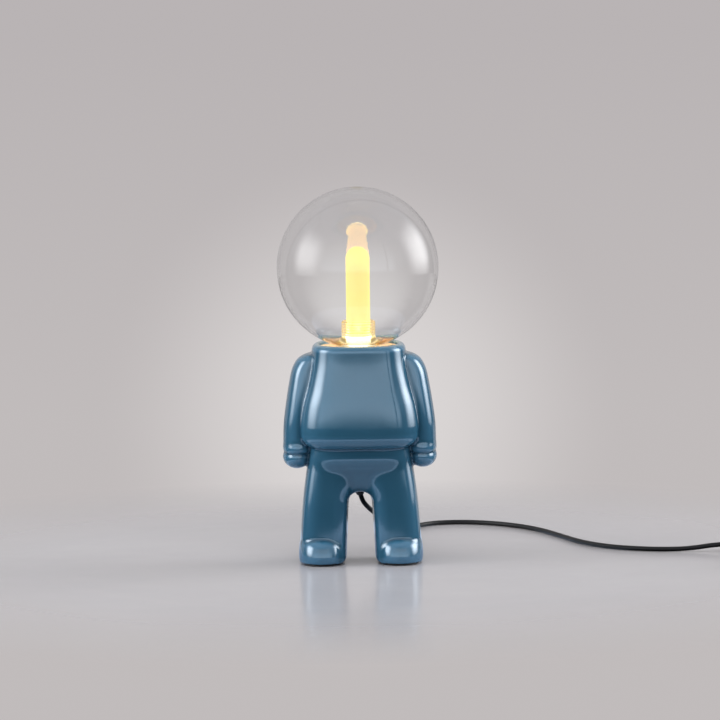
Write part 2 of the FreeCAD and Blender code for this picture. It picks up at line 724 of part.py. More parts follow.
def route_edges(points, name):
    """Edges of a route. Each corner's arc takes 0.45 of its shorter run on either side."""
    edges = []
    radii = []
    start = points[0]
    for before, corner, after in zip(points, points[1:], points[2:]):
        back, ahead = before - corner, after - corner
        turn = math.pi - back.getAngle(ahead)
        cut = 0.45 * min(back.Length, ahead.Length)
        radii.append(cut / math.tan(turn / 2))
        enter = corner + unit(back) * cut
        leave = corner + unit(ahead) * cut
        middle = (enter + leave) * 0.5
        rise = corner - middle
        centre_to_arc = radii[-1] * (1 / math.cos(turn / 2) - 1)
        bend = corner - unit(rise) * centre_to_arc
        edges.append(Part.LineSegment(start, enter).toShape())
        edges.append(Part.Arc(enter, bend, leave).toShape())
        start = leave
    edges.append(Part.LineSegment(start, points[-1]).toShape())
    print(f"{name}: bend radii {', '.join(f'{r:.0f}' for r in radii)} mm")
    return edges


def swept(edges, radius, name):
    """A round tube along joined edges. Its volume is compared with section times length."""
    path = Part.Wire(edges)
    start = edges[0].valueAt(edges[0].FirstParameter)
    heading = edges[0].tangentAt(edges[0].FirstParameter)
    section = Part.Wire(Part.makeCircle(radius, start, heading))
    solid = path.makePipeShell([section], True, False)
    wanted = math.pi * radius ** 2 * path.Length
    print(f"{name}: length {path.Length:.1f} mm, volume {solid.Volume / wanted:.4f} of section times length")
    return solid


def cord_along(points, radius, name):
    return swept(route_edges([V(*p) for p in points], name), radius, name)


def coil_low():
    """Height of the lower layer's centre line. The coil lies on its tie."""
    return TIE_THICKNESS + COIL_SEAT + CORD_RADIUS


def coil_point(quarters):
    """Centre of the coil's tube after some quarter turns: in, up a layer in half a turn, and out."""
    climb = COIL_QUARTERS
    inmost = COIL_RADIUS - COIL_PITCH * climb / 4
    low = coil_low()
    angle = -quarters * math.pi / 2
    if quarters <= climb:
        radius, z = COIL_RADIUS - COIL_PITCH * quarters / 4, low
    elif quarters >= climb + 2:
        radius, z = inmost + COIL_PITCH * (quarters - climb - 2) / 4, low + COIL_LAYER
    else:
        phase = (quarters - climb) * math.pi / 2
        radius = inmost - COIL_PITCH / TURN * math.sin(phase)
        z = low + COIL_LAYER * (1 - math.cos(phase)) / 2
    return V(COIL_CENTRE[0] + radius * math.cos(angle), COIL_CENTRE[1] + radius * math.sin(angle), z)


def coil_heading(quarters):
    step = 0.001
    return unit(coil_point(quarters + step) - coil_point(quarters - step))


def arc_from(start, heading, end):
    """The arc that leaves start along heading and ends at end."""
    chord = end - start
    sideways = chord - heading * chord.dot(heading)
    radius = chord.Length ** 2 / (2 * sideways.Length)
    centre = start + unit(sideways) * radius
    middle = centre + unit((start - centre) + (end - centre)) * radius
    return Part.Arc(start, middle, end).toShape()


def biarc(start, leaving, end, arriving):
    """Two arcs that join two points along their headings."""
    chord = end - start
    both = leaving + arriving
    spread = 2 * (1 - leaving.dot(arriving))
    reach = (math.sqrt(chord.dot(both) ** 2 + spread * chord.dot(chord)) - chord.dot(both)) / spread
    middle = (start + leaving * reach + end - arriving * reach) * 0.5
    first = arc_from(start, leaving, middle)
    heading = first.tangentAt(first.LastParameter)
    return [first, arc_from(middle, heading, end)]


def coil_ends():
    """First and last points of the coil's tube, with one diameter of straight tube at each."""
    last = 2 * COIL_QUARTERS + 2
    stub = 2 * CORD_RADIUS
    return coil_point(0) - coil_heading(0) * stub, coil_point(last) + coil_heading(last) * stub


def cord_coil():
    first, final = coil_ends()
    last = 2 * COIL_QUARTERS + 2
    edges = [Part.LineSegment(first, coil_point(0)).toShape()]
    for k in range(last):
        edges += biarc(coil_point(k), coil_heading(k), coil_point(k + 1), coil_heading(k + 1))
    edges.append(Part.LineSegment(coil_point(last), final).toShape())
    print_gap([coil_point(k / 12) for k in range(12 * last + 1)])
    return swept(edges, CORD_RADIUS, "cord_coil")


def print_gap(points):
    """The least gap between parts of the coil that are over half a turn apart."""
    near = min(
        (points[i] - points[j]).Length for i in range(len(points)) for j in range(i + 24, len(points))
    )
    print(f"cord_coil: least gap to itself {near - 2 * CORD_RADIUS:.2f} mm")


def link_points():
    first = coil_ends()[0]
    return LINK_POINTS + [tuple(first - coil_heading(0) * 14.0), tuple(first)]


def tail_points():
    final = coil_ends()[1]
    ahead = final + coil_heading(2 * COIL_QUARTERS + 2) * 12.0
    return [tuple(final), tuple(ahead)] + TAIL_POINTS


def cord_tie():
    """A band round all turns of the coil, on the side away from the cord's ends."""
    outer_turn = COIL_RADIUS - COIL_PITCH / 2
    inner_turn = COIL_RADIUS - COIL_PITCH * (COIL_QUARTERS - 1) / 4
    bow = inner_turn - math.sqrt(inner_turn ** 2 - (TIE_WIDTH / 2) ** 2)
    x, y = COIL_CENTRE
    left = x - outer_turn - CORD_RADIUS - TIE_CLEARANCE
    right = x - inner_turn + bow + CORD_RADIUS + TIE_CLEARANCE
    top = coil_low() + COIL_LAYER + CORD_RADIUS + TIE_CLEARANCE
    half = TIE_WIDTH / 2
    outer = box(left - TIE_THICKNESS, right + TIE_THICKNESS, y - half, y + half, FLOOR, top + TIE_THICKNESS)
    outer = outer.makeFillet(TIE_THICKNESS * 1.6, [e for e in outer.Edges if e.BoundBox.YLength > half])
    inner = box(left, right, y - TIE_WIDTH, y + TIE_WIDTH, TIE_THICKNESS, top)
    inner = inner.makeFillet(TIE_THICKNESS * 0.6, [e for e in inner.Edges if e.BoundBox.YLength > half])
    return outer.cut(inner)


# Cord outlet of the casting and the wiring inside it
def gland_frame():
    """Where the cord leaves the gland, and the way from there into the casting."""
    leave, below = V(*LEAD_POINTS[0]), V(*LEAD_POINTS[1])
    return leave, unit(leave - below)


def along_gland(shape):
    """Puts a shape that is drawn up the Z axis on to the gland's axis."""
    leave, inward = gland_frame()
    shape.Placement = FreeCAD.Placement(leave, FreeCAD.Rotation(UP, inward))
    return shape


def gland_seat():
    return GLAND_NOSE + GLAND_FLANGE_THICKNESS


def gland_hole():
    seat = gland_seat()
    outside = cylinder(GLAND_FLANGE + 0.4, -20.0, seat)
    through = cylinder(GLAND_BODY + CORD_CLEARANCE, 0.0, seat + 30)
    inside = cylinder(GLAND_NUT_WIDTH * 0.66, seat + WALL, seat + 30)
    return along_gland(joined([outside, through, inside]))


def cord_gland():
    seat = gland_seat()
    nose = Part.makeCone(GLAND_NOSE_TIP, GLAND_FLANGE - 0.6, GLAND_NOSE, V(0, 0, 0), UP)
    flange = cylinder(GLAND_FLANGE, GLAND_NOSE, seat)
    body = cylinder(GLAND_BODY, seat, GLAND_LENGTH)
    gland = joined([nose, flange, body]).cut(cylinder(CORD_RADIUS + CORD_CLEARANCE, 0.0, GLAND_LENGTH))
    return along_gland(gland)


def gland_nut():
    low = gland_seat() + WALL
    nut = hexagon(GLAND_NUT_WIDTH, low, low + GLAND_NUT_HEIGHT)
    return along_gland(nut.cut(cylinder(GLAND_BODY + CORD_CLEARANCE, low, low + GLAND_NUT_HEIGHT)))


def terminal_centre():
    return V(-9.0, -3.0, HEM_HEIGHT + 20.0)


def inner_cord():
    leave, inward = gland_frame()
    block = terminal_centre()
    points = [leave, leave + inward * (GLAND_LENGTH + 13.0), V(block.x, block.y, block.z - 19.0), block]
    return cord_along([tuple(p) for p in points], CORD_RADIUS, "inner_cord")


def terminal_block():
    centre = terminal_centre()
    x0, y0, z0 = centre.x - TERMINAL_WIDTH / 2, centre.y - TERMINAL_DEPTH / 2, centre.z
    block = Part.makeBox(TERMINAL_WIDTH, TERMINAL_DEPTH, TERMINAL_HEIGHT, V(x0, y0, z0))
    waist = Part.makeBox(2.0, TERMINAL_DEPTH, TERMINAL_HEIGHT, V(centre.x - 1.0, y0 + TERMINAL_DEPTH * 0.7, z0))
    block = block.cut(waist)
    for place in terminal_screw_places():
        hole = Part.makeCylinder(TERMINAL_SCREW + SCREW_CLEARANCE, 6.0, place, V(0, 1, 0))
        block = block.cut(hole)
    return block


def terminal_screw_places():
    """Two screws for each pole, in the block's front face."""
    centre = terminal_centre()
    front = centre.y - TERMINAL_DEPTH / 2
    return [V(centre.x + side * TERMINAL_WIDTH / 4, front, centre.z + TERMINAL_HEIGHT * share)
            for side in (-1, 1) for share in (0.25, 0.75)]


def terminal_screws():
    return Part.Compound([Part.makeCylinder(TERMINAL_SCREW, 5.0, place + V(0, 1.0, 0), V(0, 1, 0))
                          for place in terminal_screw_places()])


def wire(side, name):
    """One insulated core from the terminal block, up the hollow stem, to its contact."""
    block = terminal_centre()
    stem_low = STEM_TOP - STEM_LENGTH
    lane = side * STEM_BORE * 0.35
    reach = side * (PIN_SPACING / 2 + SLOT_X / 2 - CONTACT_THICKNESS - WIRE_RADIUS)
    start = V(block.x + side * TERMINAL_WIDTH / 4, block.y, block.z + TERMINAL_HEIGHT)
    points = [start, start + V(0, 0, 6), V(lane, 0, stem_low - 6), V(lane, 0.3, stem_low + 6),
              V(lane, 0, STEM_TOP - 6), V(side * STEM_BORE * 0.6, 0.2, STEM_TOP - 0.5),
              V(reach, 0, STEM_TOP + 2.8), V(reach, 0, INSERT_BOTTOM - 0.3)]
    return cord_along([tuple(p) for p in points], WIRE_RADIUS, name)


# In-line switch, which lies along X between the lead and the link
def switch_origin():
    """Where the lead enters the switch. Its end is gripped inside."""
    return V(*LEAD_POINTS[-1]) - V(SWITCH_GRIP, 0, 0)


def rounded_bar(length, width, height, low, corner):
    bar = box(0, length, -width / 2, width / 2, low, low + height)
    return bar.makeFillet(corner, [e for e in bar.Edges if e.BoundBox.ZLength > height - 0.1])


def in_switch(shape):
    origin = switch_origin()
    shape.translate(V(origin.x, origin.y, FLOOR))
    return shape


def switch_screw_places():
    edge = SWITCH_WIDTH / 2 - 5.0
    return [(8.0, edge), (SWITCH_LENGTH - 8.0, -edge)]


def cord_ways():
    """Bores for the two cords, one in each end."""
    bore = Part.makeCylinder(CORD_RADIUS + CORD_CLEARANCE, SWITCH_LENGTH, V(0, 0, switch_origin().z), V(1, 0, 0))
    return bore


def switch_hollow(low, high):
    end = 12.0
    return box(end, SWITCH_LENGTH - end, -SWITCH_WIDTH / 2 + SWITCH_WALL, SWITCH_WIDTH / 2 - SWITCH_WALL, low, high)


def switch_lower_shell():
    shell = rounded_bar(SWITCH_LENGTH, SWITCH_WIDTH, SWITCH_SPLIT, 0.0, 7.0)
    shell = rounded(shell, 0.0, 1.2)
    shell = shell.cut(switch_hollow(SWITCH_WALL, SWITCH_SPLIT)).cut(cord_ways())
    for x, y in switch_screw_places():
        shell = shell.cut(cylinder(SWITCH_SCREW_RADIUS + SCREW_CLEARANCE, 0.0, SWITCH_SPLIT, x, y))
        shell = shell.cut(cylinder(SWITCH_SCREW_HEAD + SCREW_CLEARANCE, 0.0, 2.0, x, y))
    return in_switch(shell)


def rocker_window(extra):
    middle = SWITCH_LENGTH / 2
    half_x, half_y = ROCKER_LENGTH / 2 + extra, ROCKER_WIDTH / 2 + extra
    return box(middle - half_x, middle + half_x, -half_y, half_y, SWITCH_SPLIT, SWITCH_HEIGHT + 5)


def switch_upper_shell():
    shell = rounded_bar(SWITCH_LENGTH, SWITCH_WIDTH, SWITCH_HEIGHT - SWITCH_SPLIT, SWITCH_SPLIT, 7.0)
    shell = rounded(shell, SWITCH_HEIGHT, 2.2)
    shell = shell.cut(switch_hollow(SWITCH_SPLIT, SWITCH_HEIGHT - SWITCH_WALL)).cut(cord_ways())
    middle = SWITCH_LENGTH / 2
    for side in (-1, 1):
        near = side * (ROCKER_WIDTH / 2 + ROCKER_CLEARANCE)
        far = side * (ROCKER_WIDTH / 2 + ROCKER_CLEARANCE + TRUNNION_LENGTH)
        low = ROCKER_PIVOT - 2 * TRUNNION_RADIUS
        ear = box(middle - 3, middle + 3, min(near, far), max(near, far), low, SWITCH_HEIGHT - SWITCH_WALL)
        shell = shell.fuse(ear)
    shell = shell.cut(rocker_window(ROCKER_CLEARANCE))
    reach = ROCKER_WIDTH / 2 + ROCKER_CLEARANCE + TRUNNION_LENGTH
    bore = Part.makeCylinder(TRUNNION_RADIUS + TRUNNION_CLEARANCE, 2 * reach, V(middle, -reach, ROCKER_PIVOT), V(0, 1, 0))
    shell = shell.cut(bore)
    for x, y in switch_screw_places():
        shell = shell.cut(cylinder(SWITCH_SCREW_RADIUS + SCREW_CLEARANCE, SWITCH_SPLIT, SWITCH_SPLIT + 4.5, x, y))
    return in_switch(shell)


def switch_screws():
    screws = []
    for x, y in switch_screw_places():
        head = cylinder(SWITCH_SCREW_HEAD, 0.3, 2.0, x, y)
        shank = cylinder(SWITCH_SCREW_RADIUS, 2.0, SWITCH_SPLIT + 4.0, x, y)
        screws.append(in_switch(head.fuse(shank)))
    return Part.Compound(screws)


def switch_rocker():
    """A shallow V on top, tipped so that its ON end is down, with a trunnion on each side."""
    middle = SWITCH_LENGTH / 2
    half = ROCKER_LENGTH / 2
    crest = SWITCH_HEIGHT + 1.4
    drop = half * math.tan(math.radians(ROCKER_TILT))
    top, waist = half - 0.6, half - 1.2
    outline = [(-top, crest + drop), (0, crest), (top, crest + drop), (waist, SWITCH_HEIGHT - 1.0),
               (4.0, ROCKER_PIVOT - 2.4), (-4.0, ROCKER_PIVOT - 2.4), (-waist, SWITCH_HEIGHT - 1.0)]
    points = [V(middle + x, -ROCKER_WIDTH / 2, z) for x, z in outline]
    rocker = Part.Face(Part.makePolygon(points + points[:1])).extrude(V(0, ROCKER_WIDTH, 0))
    reach = ROCKER_WIDTH / 2 + ROCKER_CLEARANCE + TRUNNION_LENGTH - 0.3
    rocker = rocker.fuse(Part.makeCylinder(TRUNNION_RADIUS, 2 * reach, V(middle, -reach, ROCKER_PIVOT), V(0, 1, 0)))
    rocker.rotate(V(middle, 0, ROCKER_PIVOT), V(0, 1, 0), ROCKER_TILT)
    return in_switch(rocker)


def switch_contacts():
    strips = []
    for end in (1, -1):
        near = SWITCH_LENGTH / 2 - end * (SWITCH_LENGTH / 2 - 14.0)
        far = SWITCH_LENGTH / 2 - end * 3.0
        foot = box(min(near, far), max(near, far), -2.0, 2.0, SWITCH_WALL, SWITCH_WALL + 0.6)
        post = box(min(far, far + end * 0.6), max(far, far + end * 0.6), -2.0, 2.0, SWITCH_WALL, SWITCH_WALL + 3.6)
        strips.append(in_switch(foot.fuse(post)))
    return Part.Compound(strips)


# Plug, which lies flat with its pins along -X
def plug_neck():
    """Tip of the relief. The cord's end is gripped inside it."""
    return V(*TAIL_POINTS[-1]) + V(RELIEF_GRIP, 0, 0)


def plug_face_x():
    return plug_neck().x - RELIEF_LENGTH - PLUG_LENGTH


def plug_section(x, width, thickness, corner):
    y, z = plug_neck().y, plug_neck().z
    plate = Part.makeBox(1.0, width, thickness, V(x, y - width / 2, z - thickness / 2))
    plate = plate.makeFillet(corner, [e for e in plate.Edges if e.BoundBox.XLength > 0.9])
    face = min(plate.Faces, key=lambda f: f.CenterOfMass.x)
    return face.OuterWire


def plug_body():
    x = plug_face_x()
    body = Part.makeLoft([
        plug_section(x, PLUG_WIDTH, PLUG_THICKNESS, 5.5),
        plug_section(x + PLUG_LENGTH * 0.35, PLUG_WIDTH - 2.0, PLUG_THICKNESS, 5.5),
        plug_section(x + PLUG_LENGTH, PLUG_NECK_WIDTH, PLUG_NECK_THICKNESS, 5.0),
    ], True, True)
    for y in plug_pin_lanes():
        body = body.cut(Part.makeCylinder(PIN_CORE_RADIUS, PIN_ROOT, V(x, y, plug_neck().z), V(1, 0, 0)))
    return body


def plug_pin_lanes():
    y = plug_neck().y
    return (y - PLUG_PIN_SPACING / 2, y + PLUG_PIN_SPACING / 2)


def plug_pins():
    x = plug_face_x()
    z = plug_neck().z
    pins = []
    for y in plug_pin_lanes():
        core = Part.makeCylinder(PIN_CORE_RADIUS, SLEEVE_LENGTH + PIN_ROOT, V(x - SLEEVE_LENGTH, y, z), V(1, 0, 0))
        bare = PLUG_PIN_LENGTH - SLEEVE_LENGTH
        tip = Part.makeCylinder(PLUG_PIN_RADIUS, bare, V(x - PLUG_PIN_LENGTH, y, z), V(1, 0, 0))
        tip = tip.makeChamfer(0.8, [e for e in tip.Edges if e.BoundBox.XMax < x - PLUG_PIN_LENGTH + 0.01])
        pins.append(core.fuse(tip))
    return Part.Compound(pins)


def plug_sleeves():
    x = plug_face_x()
    z = plug_neck().z
    sleeves = []
    for y in plug_pin_lanes():
        outer = Part.makeCylinder(PLUG_SLEEVE_RADIUS, SLEEVE_LENGTH, V(x - SLEEVE_LENGTH, y, z), V(1, 0, 0))
        inner = Part.makeCylinder(PIN_CORE_RADIUS, SLEEVE_LENGTH, V(x - SLEEVE_LENGTH, y, z), V(1, 0, 0))
        sleeves.append(outer.cut(inner))
    return Part.Compound(sleeves)


def plug_relief():
    """Tapered sleeve that is moulded on to the cord behind the plug."""
    neck = plug_neck()
    sleeve_body = Part.makeCone(RELIEF_ROOT, RELIEF_TIP, RELIEF_LENGTH, neck - V(RELIEF_LENGTH, 0, 0), V(1, 0, 0))
    bore = Part.makeCylinder(CORD_RADIUS + CORD_CLEARANCE, RELIEF_GRIP, neck - V(RELIEF_GRIP, 0, 0), V(1, 0, 0))
    return sleeve_body.cut(bore)


parts["body_casting"] = body_casting()
parts["foot_pad_left"] = foot_pad(1)
parts["foot_pad_right"] = foot_pad(-1)
parts["plate_gasket"] = plate_gasket()
parts["cover_plate"] = cover_plate()
parts["clamp_bar"] = clamp_bar()
parts["threaded_tube"] = threaded_tube()
parts["lock_washer"] = lock_washer()
parts["tube_nut"] = tube_nut()
parts["lampholder_cup"] = lampholder_cup()
parts["lampholder_insert"] = lampholder_insert()
parts["lampholder_contacts"] = lampholder_contacts()
parts["lampholder_screws"] = lampholder_screws()
parts["shade_ring"] = shade_ring()
parts["cushion_ring"] = cushion_ring()
parts["glass_globe"] = glass_globe()
parts["bulb_tube"] = bulb_tube()
parts["bulb_base"] = bulb_base()
parts["bulb_pins"] = bulb_pins()
parts["bulb_led_board"] = bulb_led_board()
parts["cord_gland"] = cord_gland()
parts["gland_nut"] = gland_nut()
parts["inner_cord"] = inner_cord()
parts["terminal_block"] = terminal_block()
parts["terminal_screws"] = terminal_screws()
parts["live_wire"] = wire(-1, "live_wire")
parts["neutral_wire"] = wire(1, "neutral_wire")
parts["cord_lead"] = cord_along(LEAD_POINTS, CORD_RADIUS, "cord_lead")
parts["switch_lower_shell"] = switch_lower_shell()
parts["switch_upper_shell"] = switch_upper_shell()
parts["switch_rocker"] = switch_rocker()
parts["switch_contacts"] = switch_contacts()
parts["switch_screws"] = switch_screws()
parts["cord_link"] = cord_along(link_points(), CORD_RADIUS, "cord_link")
parts["cord_coil"] = cord_coil()
parts["cord_tie"] = cord_tie()
parts["cord_tail"] = cord_along(tail_points(), CORD_RADIUS, "cord_tail")
parts["plug_body"] = plug_body()
parts["plug_relief"] = plug_relief()
parts["plug_pins"] = plug_pins()
parts["plug_sleeves"] = plug_sleeves()

os.makedirs("parts", exist_ok=True)
for name, shape in parts.items():
    print(f"{name}: {len(shape.Solids)} solid(s), valid {shape.isValid()}, {shape.Volume / 1000:.2f} cm3")
    shape.exportStep(f"parts/{name}.step")
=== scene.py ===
import math

import bmesh
import bpy
import numpy as np
from mathutils import Matrix, Vector


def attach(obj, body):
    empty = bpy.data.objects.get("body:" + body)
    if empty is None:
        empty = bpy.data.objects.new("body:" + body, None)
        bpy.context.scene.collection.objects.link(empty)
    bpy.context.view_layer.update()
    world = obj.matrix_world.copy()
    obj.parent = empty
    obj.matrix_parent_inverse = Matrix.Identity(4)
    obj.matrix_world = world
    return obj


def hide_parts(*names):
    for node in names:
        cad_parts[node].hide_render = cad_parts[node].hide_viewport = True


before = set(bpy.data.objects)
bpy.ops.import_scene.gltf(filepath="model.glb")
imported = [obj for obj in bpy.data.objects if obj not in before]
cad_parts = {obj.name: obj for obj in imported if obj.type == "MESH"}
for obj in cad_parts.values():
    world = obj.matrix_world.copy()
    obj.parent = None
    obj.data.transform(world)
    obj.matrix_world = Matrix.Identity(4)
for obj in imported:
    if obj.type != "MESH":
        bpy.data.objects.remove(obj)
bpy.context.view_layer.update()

# Table lamp: a glazed ceramic figure in a puffy suit carries a clear glass globe with a lit tube lamp.
# Shapes are worked out in millimetres, as in the part's source, and become metres when they are built.

MM = 0.001

# Sizes of the casting
WALL = 5.5
PAD_THICKNESS = 2.0
RIM_TOP = 204.5
HEM_HEIGHT = 109.0
COLLAR_HALF_WIDTH = 43.0
COLLAR_HALF_DEPTH = 43.0
BELLY_HALF_WIDTH = 56.5
BELLY_HALF_DEPTH = 47.5
HEM_ROUND = 13.0
RIM_ROUND = 1.5
COLLAR_ROUND = 5.0
SLEEVE_PROUD = 14.5
SLEEVE_HALF_WIDTH = 14.5
SLEEVE_HALF_DEPTH = 23.0
SLEEVE_END = 104.0
SLEEVE_TOP = 195.5
CUFF_CENTRE = (58.2, 0.0, 108.0)
CUFF_RADII = (12.4, 22.0, 9.5)
GLOVE_CENTRE = (58.4, 0.0, 99.5)
GLOVE_RADII = (13.1, 20.3, 11.2)
PELVIS_BOTTOM = 61.0
PELVIS_TOP = 122.0
PELVIS_HALF_WIDTH = 47.0
LEG_TOP = 118.0
LEG_TAPER_TOP = 105.0
LEG_HALF_DEPTH = 28.5
LEG_OUTSIDE = (56.5, 46.5)
LEG_INSIDE = (7.5, 2.5)
ARCH_TOP = 66.5
ARCH_HALF_WIDTH = 10.0
ARCH_FOOT_HALF_WIDTH = 14.0
BOOT_SPACING = 72.0
BOOT_HEIGHT = 26.0
BOOT_HALF_WIDTH = 21.5
BOOT_TOE = 38.0
BOOT_HEEL = 29.0
MOUTH_RADIUS = 36.0
LEDGE_BORE = 29.0
LEDGE_TOP = 184.7
LEDGE_UNDER = 179.2
GLAND_SEAT = 6.0
GLAND_HOLE_RADIUS = 6.2
CORD_HOLE_RADIUS = 4.5

# Sizes of the lampholder, the globe and the lamp
PLATE_TOP = 187.0
CUP_TOP = 211.0
GLOBE_FOOT = 201.5
GLOBE_RADIUS = 75.0
GLASS_WALL = 2.5
NECK_BORE = 12.8
NECK_RADIUS = 15.6
NECK_LIP = 225.5
NECK_THREAD_PITCH = 2.5
NECK_THREAD_DEPTH = 0.7
THROAT_FILLET = 6.5
GLOBE_FOOT_RADIUS = 15.4
GLOBE_CENTRE = GLOBE_FOOT + math.sqrt(GLOBE_RADIUS ** 2 - GLOBE_FOOT_RADIUS ** 2)
BULB_RADIUS = 11.1
BULB_GLASS = 1.0
BULB_FOOT = 213.0
BULB_TOP = 294.5

# Route of the cord, from the gland to the plug
CORD_RADIUS = 2.25
LEAD_ROUTE = [
    (0.0, 15.0, 62.0), (1.3, 18.2, 55.5), (6.2, 25.6, 48.2), (13.5, 36.5, 40.5), (24.0, 55.0, 28.0),
    (34.0, 80.0, 14.5), (40.0, 110.0, 5.5), (43.0, 146.0, 2.3), (44.0, 182.0, 2.4), (48.0, 217.0, 2.3),
    (64.0, 246.0, 2.4), (92.0, 257.0, 2.3), (124.0, 247.0, 2.4), (153.0, 223.0, 2.3), (176.0, 186.0, 2.4),
    (194.0, 139.0, 2.3), (211.0, 93.0, 2.4), (240.0, 57.0, 2.3), (281.0, 39.0, 2.4), (309.0, 38.3, 3.0),
    (334.0, 40.0, 6.5), (358.0, 40.0, 6.5),
]
LINK_ROUTE = [
    (400.0, 40.0, 6.5), (414.8, 40.0, 6.5), (427.8, 33.3, 5.3), (435.6, 20.8, 4.0), (436.0, 6.5, 3.1),
    (436.0, -7.5, 3.1),
]
TAIL_ROUTE = [
    (436.0, -16.5, 8.05), (436.0, -28.5, 8.05), (437.0, -47.5, 7.6), (431.0, -59.5, 7.1),
    (419.4, -66.2, 6.8), (406.0, -66.2, 6.8), (386.0, -66.2, 6.8),
]
COIL_CENTRE = (404.0, -12.0)
COIL_RADIUS = 32.0
COIL_PITCH = 5.0
COIL_LAYER = 4.95
COIL_LOW = 3.1
COIL_QUARTERS = 11
POINTS_PER_TURN = 16

# Sizes of the ridges on the plug and the switch
PLUG_Y = -66.2
PLUG_TOP = 13.5
SWITCH_Y = 40.0
SWITCH_TOP = 14.9
GRIP_BEAD = 0.6
RELIEF_START = (393.5, PLUG_Y, 6.8)
RELIEF_END = (411.5, PLUG_Y, 6.8)


def in_metres(sizes):
    return tuple(size * MM for size in sizes) if isinstance(sizes, tuple) else sizes * MM


def put_in_scene(name, data):
    made = bpy.data.objects.new(name, data)
    bpy.context.scene.collection.objects.link(made)
    return made


# Camera
def place_camera():
    """Stands where the photograph was taken from, and leans as it does."""
    aim = Vector((1.174, 0.0, 188.62)) * MM
    distance, height, lean = 5.0, 0.690, math.radians(0.7)
    spot = Vector((aim.x, -math.sqrt(distance ** 2 - (height - aim.z) ** 2), height))
    ahead = (aim - spot).normalized()
    right = ahead.cross(Vector((0, 0, 1))).normalized()
    up = right.cross(ahead)
    across = right * math.cos(lean) - up * math.sin(lean)
    upright = right * math.sin(lean) + up * math.cos(lean)
    lens = bpy.data.cameras.new("camera")
    lens.sensor_width = 36.0
    lens.lens = 269.2
    lens.clip_start, lens.clip_end = 0.05, 60.0
    camera = put_in_scene("camera", lens)
    turned = Matrix((across, upright, -ahead)).transposed().to_4x4()
    camera.matrix_world = Matrix.Translation(spot) @ turned
    bpy.context.scene.camera = camera


place_camera()


# Cord
def coil_route():
    """Centres of the coil's turns: inwards, up a layer in half a turn, and outwards again."""
    inmost = COIL_RADIUS - COIL_PITCH * COIL_QUARTERS / 4
    last = 2 * COIL_QUARTERS + 2
    route = []
    for k in range(last * POINTS_PER_TURN // 4 + 1):
        quarters = 4 * k / POINTS_PER_TURN
        if quarters <= COIL_QUARTERS:
            radius, z = COIL_RADIUS - COIL_PITCH * quarters / 4, COIL_LOW
        elif quarters >= COIL_QUARTERS + 2:
            radius, z = inmost + COIL_PITCH * (quarters - COIL_QUARTERS - 2) / 4, COIL_LOW + COIL_LAYER
        else:
            climb = (quarters - COIL_QUARTERS) * math.pi / 2
            radius = inmost - COIL_PITCH / (2 * math.pi) * math.sin(climb)
            z = COIL_LOW + COIL_LAYER * (1 - math.cos(climb)) / 2
        angle = -quarters * math.pi / 2
        x, y = COIL_CENTRE[0] + radius * math.cos(angle), COIL_CENTRE[1] + radius * math.sin(angle)
        route.append((x, y, z))
    return route


def make_cord():
    curve = bpy.data.curves.new("power_cord", "CURVE")
    curve.dimensions = "3D"
    curve.bevel_depth = CORD_RADIUS * MM
    curve.bevel_resolution = 5
    curve.resolution_u = 4
    curve.use_fill_caps = True
    route = LEAD_ROUTE + LINK_ROUTE + coil_route() + TAIL_ROUTE
    spline = curve.splines.new("NURBS")
    spline.points.add(len(route) - 1)
    for point, (x, y, z) in zip(spline.points, route):
        point.co = (x * MM, y * MM, z * MM, 1.0)
    spline.order_u = 3
    spline.use_endpoint_u = True
    return put_in_scene("power_cord", curve)


power_cord = make_cord()


# Mesh building
def piece_from(name, points, faces):
    """A smooth-shaded object at the origin, from points in millimetres."""
    mesh = bpy.data.meshes.new(name)
    mesh.from_pydata([tuple(p) for p in np.asarray(points) * MM], [], [tuple(f) for f in faces])
    mesh.validate()
    mesh.polygons.foreach_set("use_smooth", [True] * len(mesh.polygons))
    mesh.update()
    return put_in_scene(name, mesh)


def lathe(name, profile, segments):
    """A closed solid of revolution about the globe's axis. A profile point at radius 0 is a pole."""
    points, rows = [], []
    for radius, z in profile:
        if radius < 1e-6:
            rows.append([len(points)] * segments)
            points.append((0.0, 0.0, z))
            continue
        rows.append(list(range(len(points), len(points) + segments)))
        for k in range(segments):
            angle = 2 * math.pi * k / segments
            points.append((radius * math.cos(angle), radius * math.sin(angle), z))
    faces = []
    closed = profile[0][0] > 1e-6
    for low, high in zip(rows, rows[1:] + rows[:1] if closed else rows[1:]):
        for k in range(segments):
            n = (k + 1) % segments
            corner = [low[k], low[n], high[n], high[k]]
            kept = [c for i, c in enumerate(corner) if c != corner[i - 1]]
            if len(kept) > 2:
                faces.append(kept)
    return outward(piece_from(name, points, faces))


def outward(piece):
    """Merges doubled points and turns every face outwards."""
    work = bmesh.new()
    work.from_mesh(piece.data)
    bmesh.ops.remove_doubles(work, verts=work.verts, dist=1e-7)
    bmesh.ops.recalc_face_normals(work, faces=work.faces)
    work.to_mesh(piece.data)
    work.free()
    return piece


def arc(centre, radius, start, end, steps):
    """Points on an arc in a profile's plane, angles in degrees from the outward direction."""
    angles = [math.radians(start + (end - start) * k / steps) for k in range(steps + 1)]
    return [(centre[0] + radius * math.cos(a), centre[1] + radius * math.sin(a)) for a in angles]


# Soft joins between distances, in millimetres
def soft_union(a, b, width):
    h = np.maximum(width - np.abs(a - b), 0.0) / width
    return np.minimum(a, b) - h ** 3 * width / 6


def soft_cut(a, b, width):
    return -soft_union(-a, b, width)


def round_end(side, end, radius):
    """Where a side meets an end face, with an edge of that radius between them."""
    u, v = np.maximum(radius + side, 0.0), np.maximum(radius + end, 0.0)
    return np.minimum(-radius, np.maximum(side, end)) + np.hypot(u, v)


def between(low, high, share):
    return low + (high - low) * share


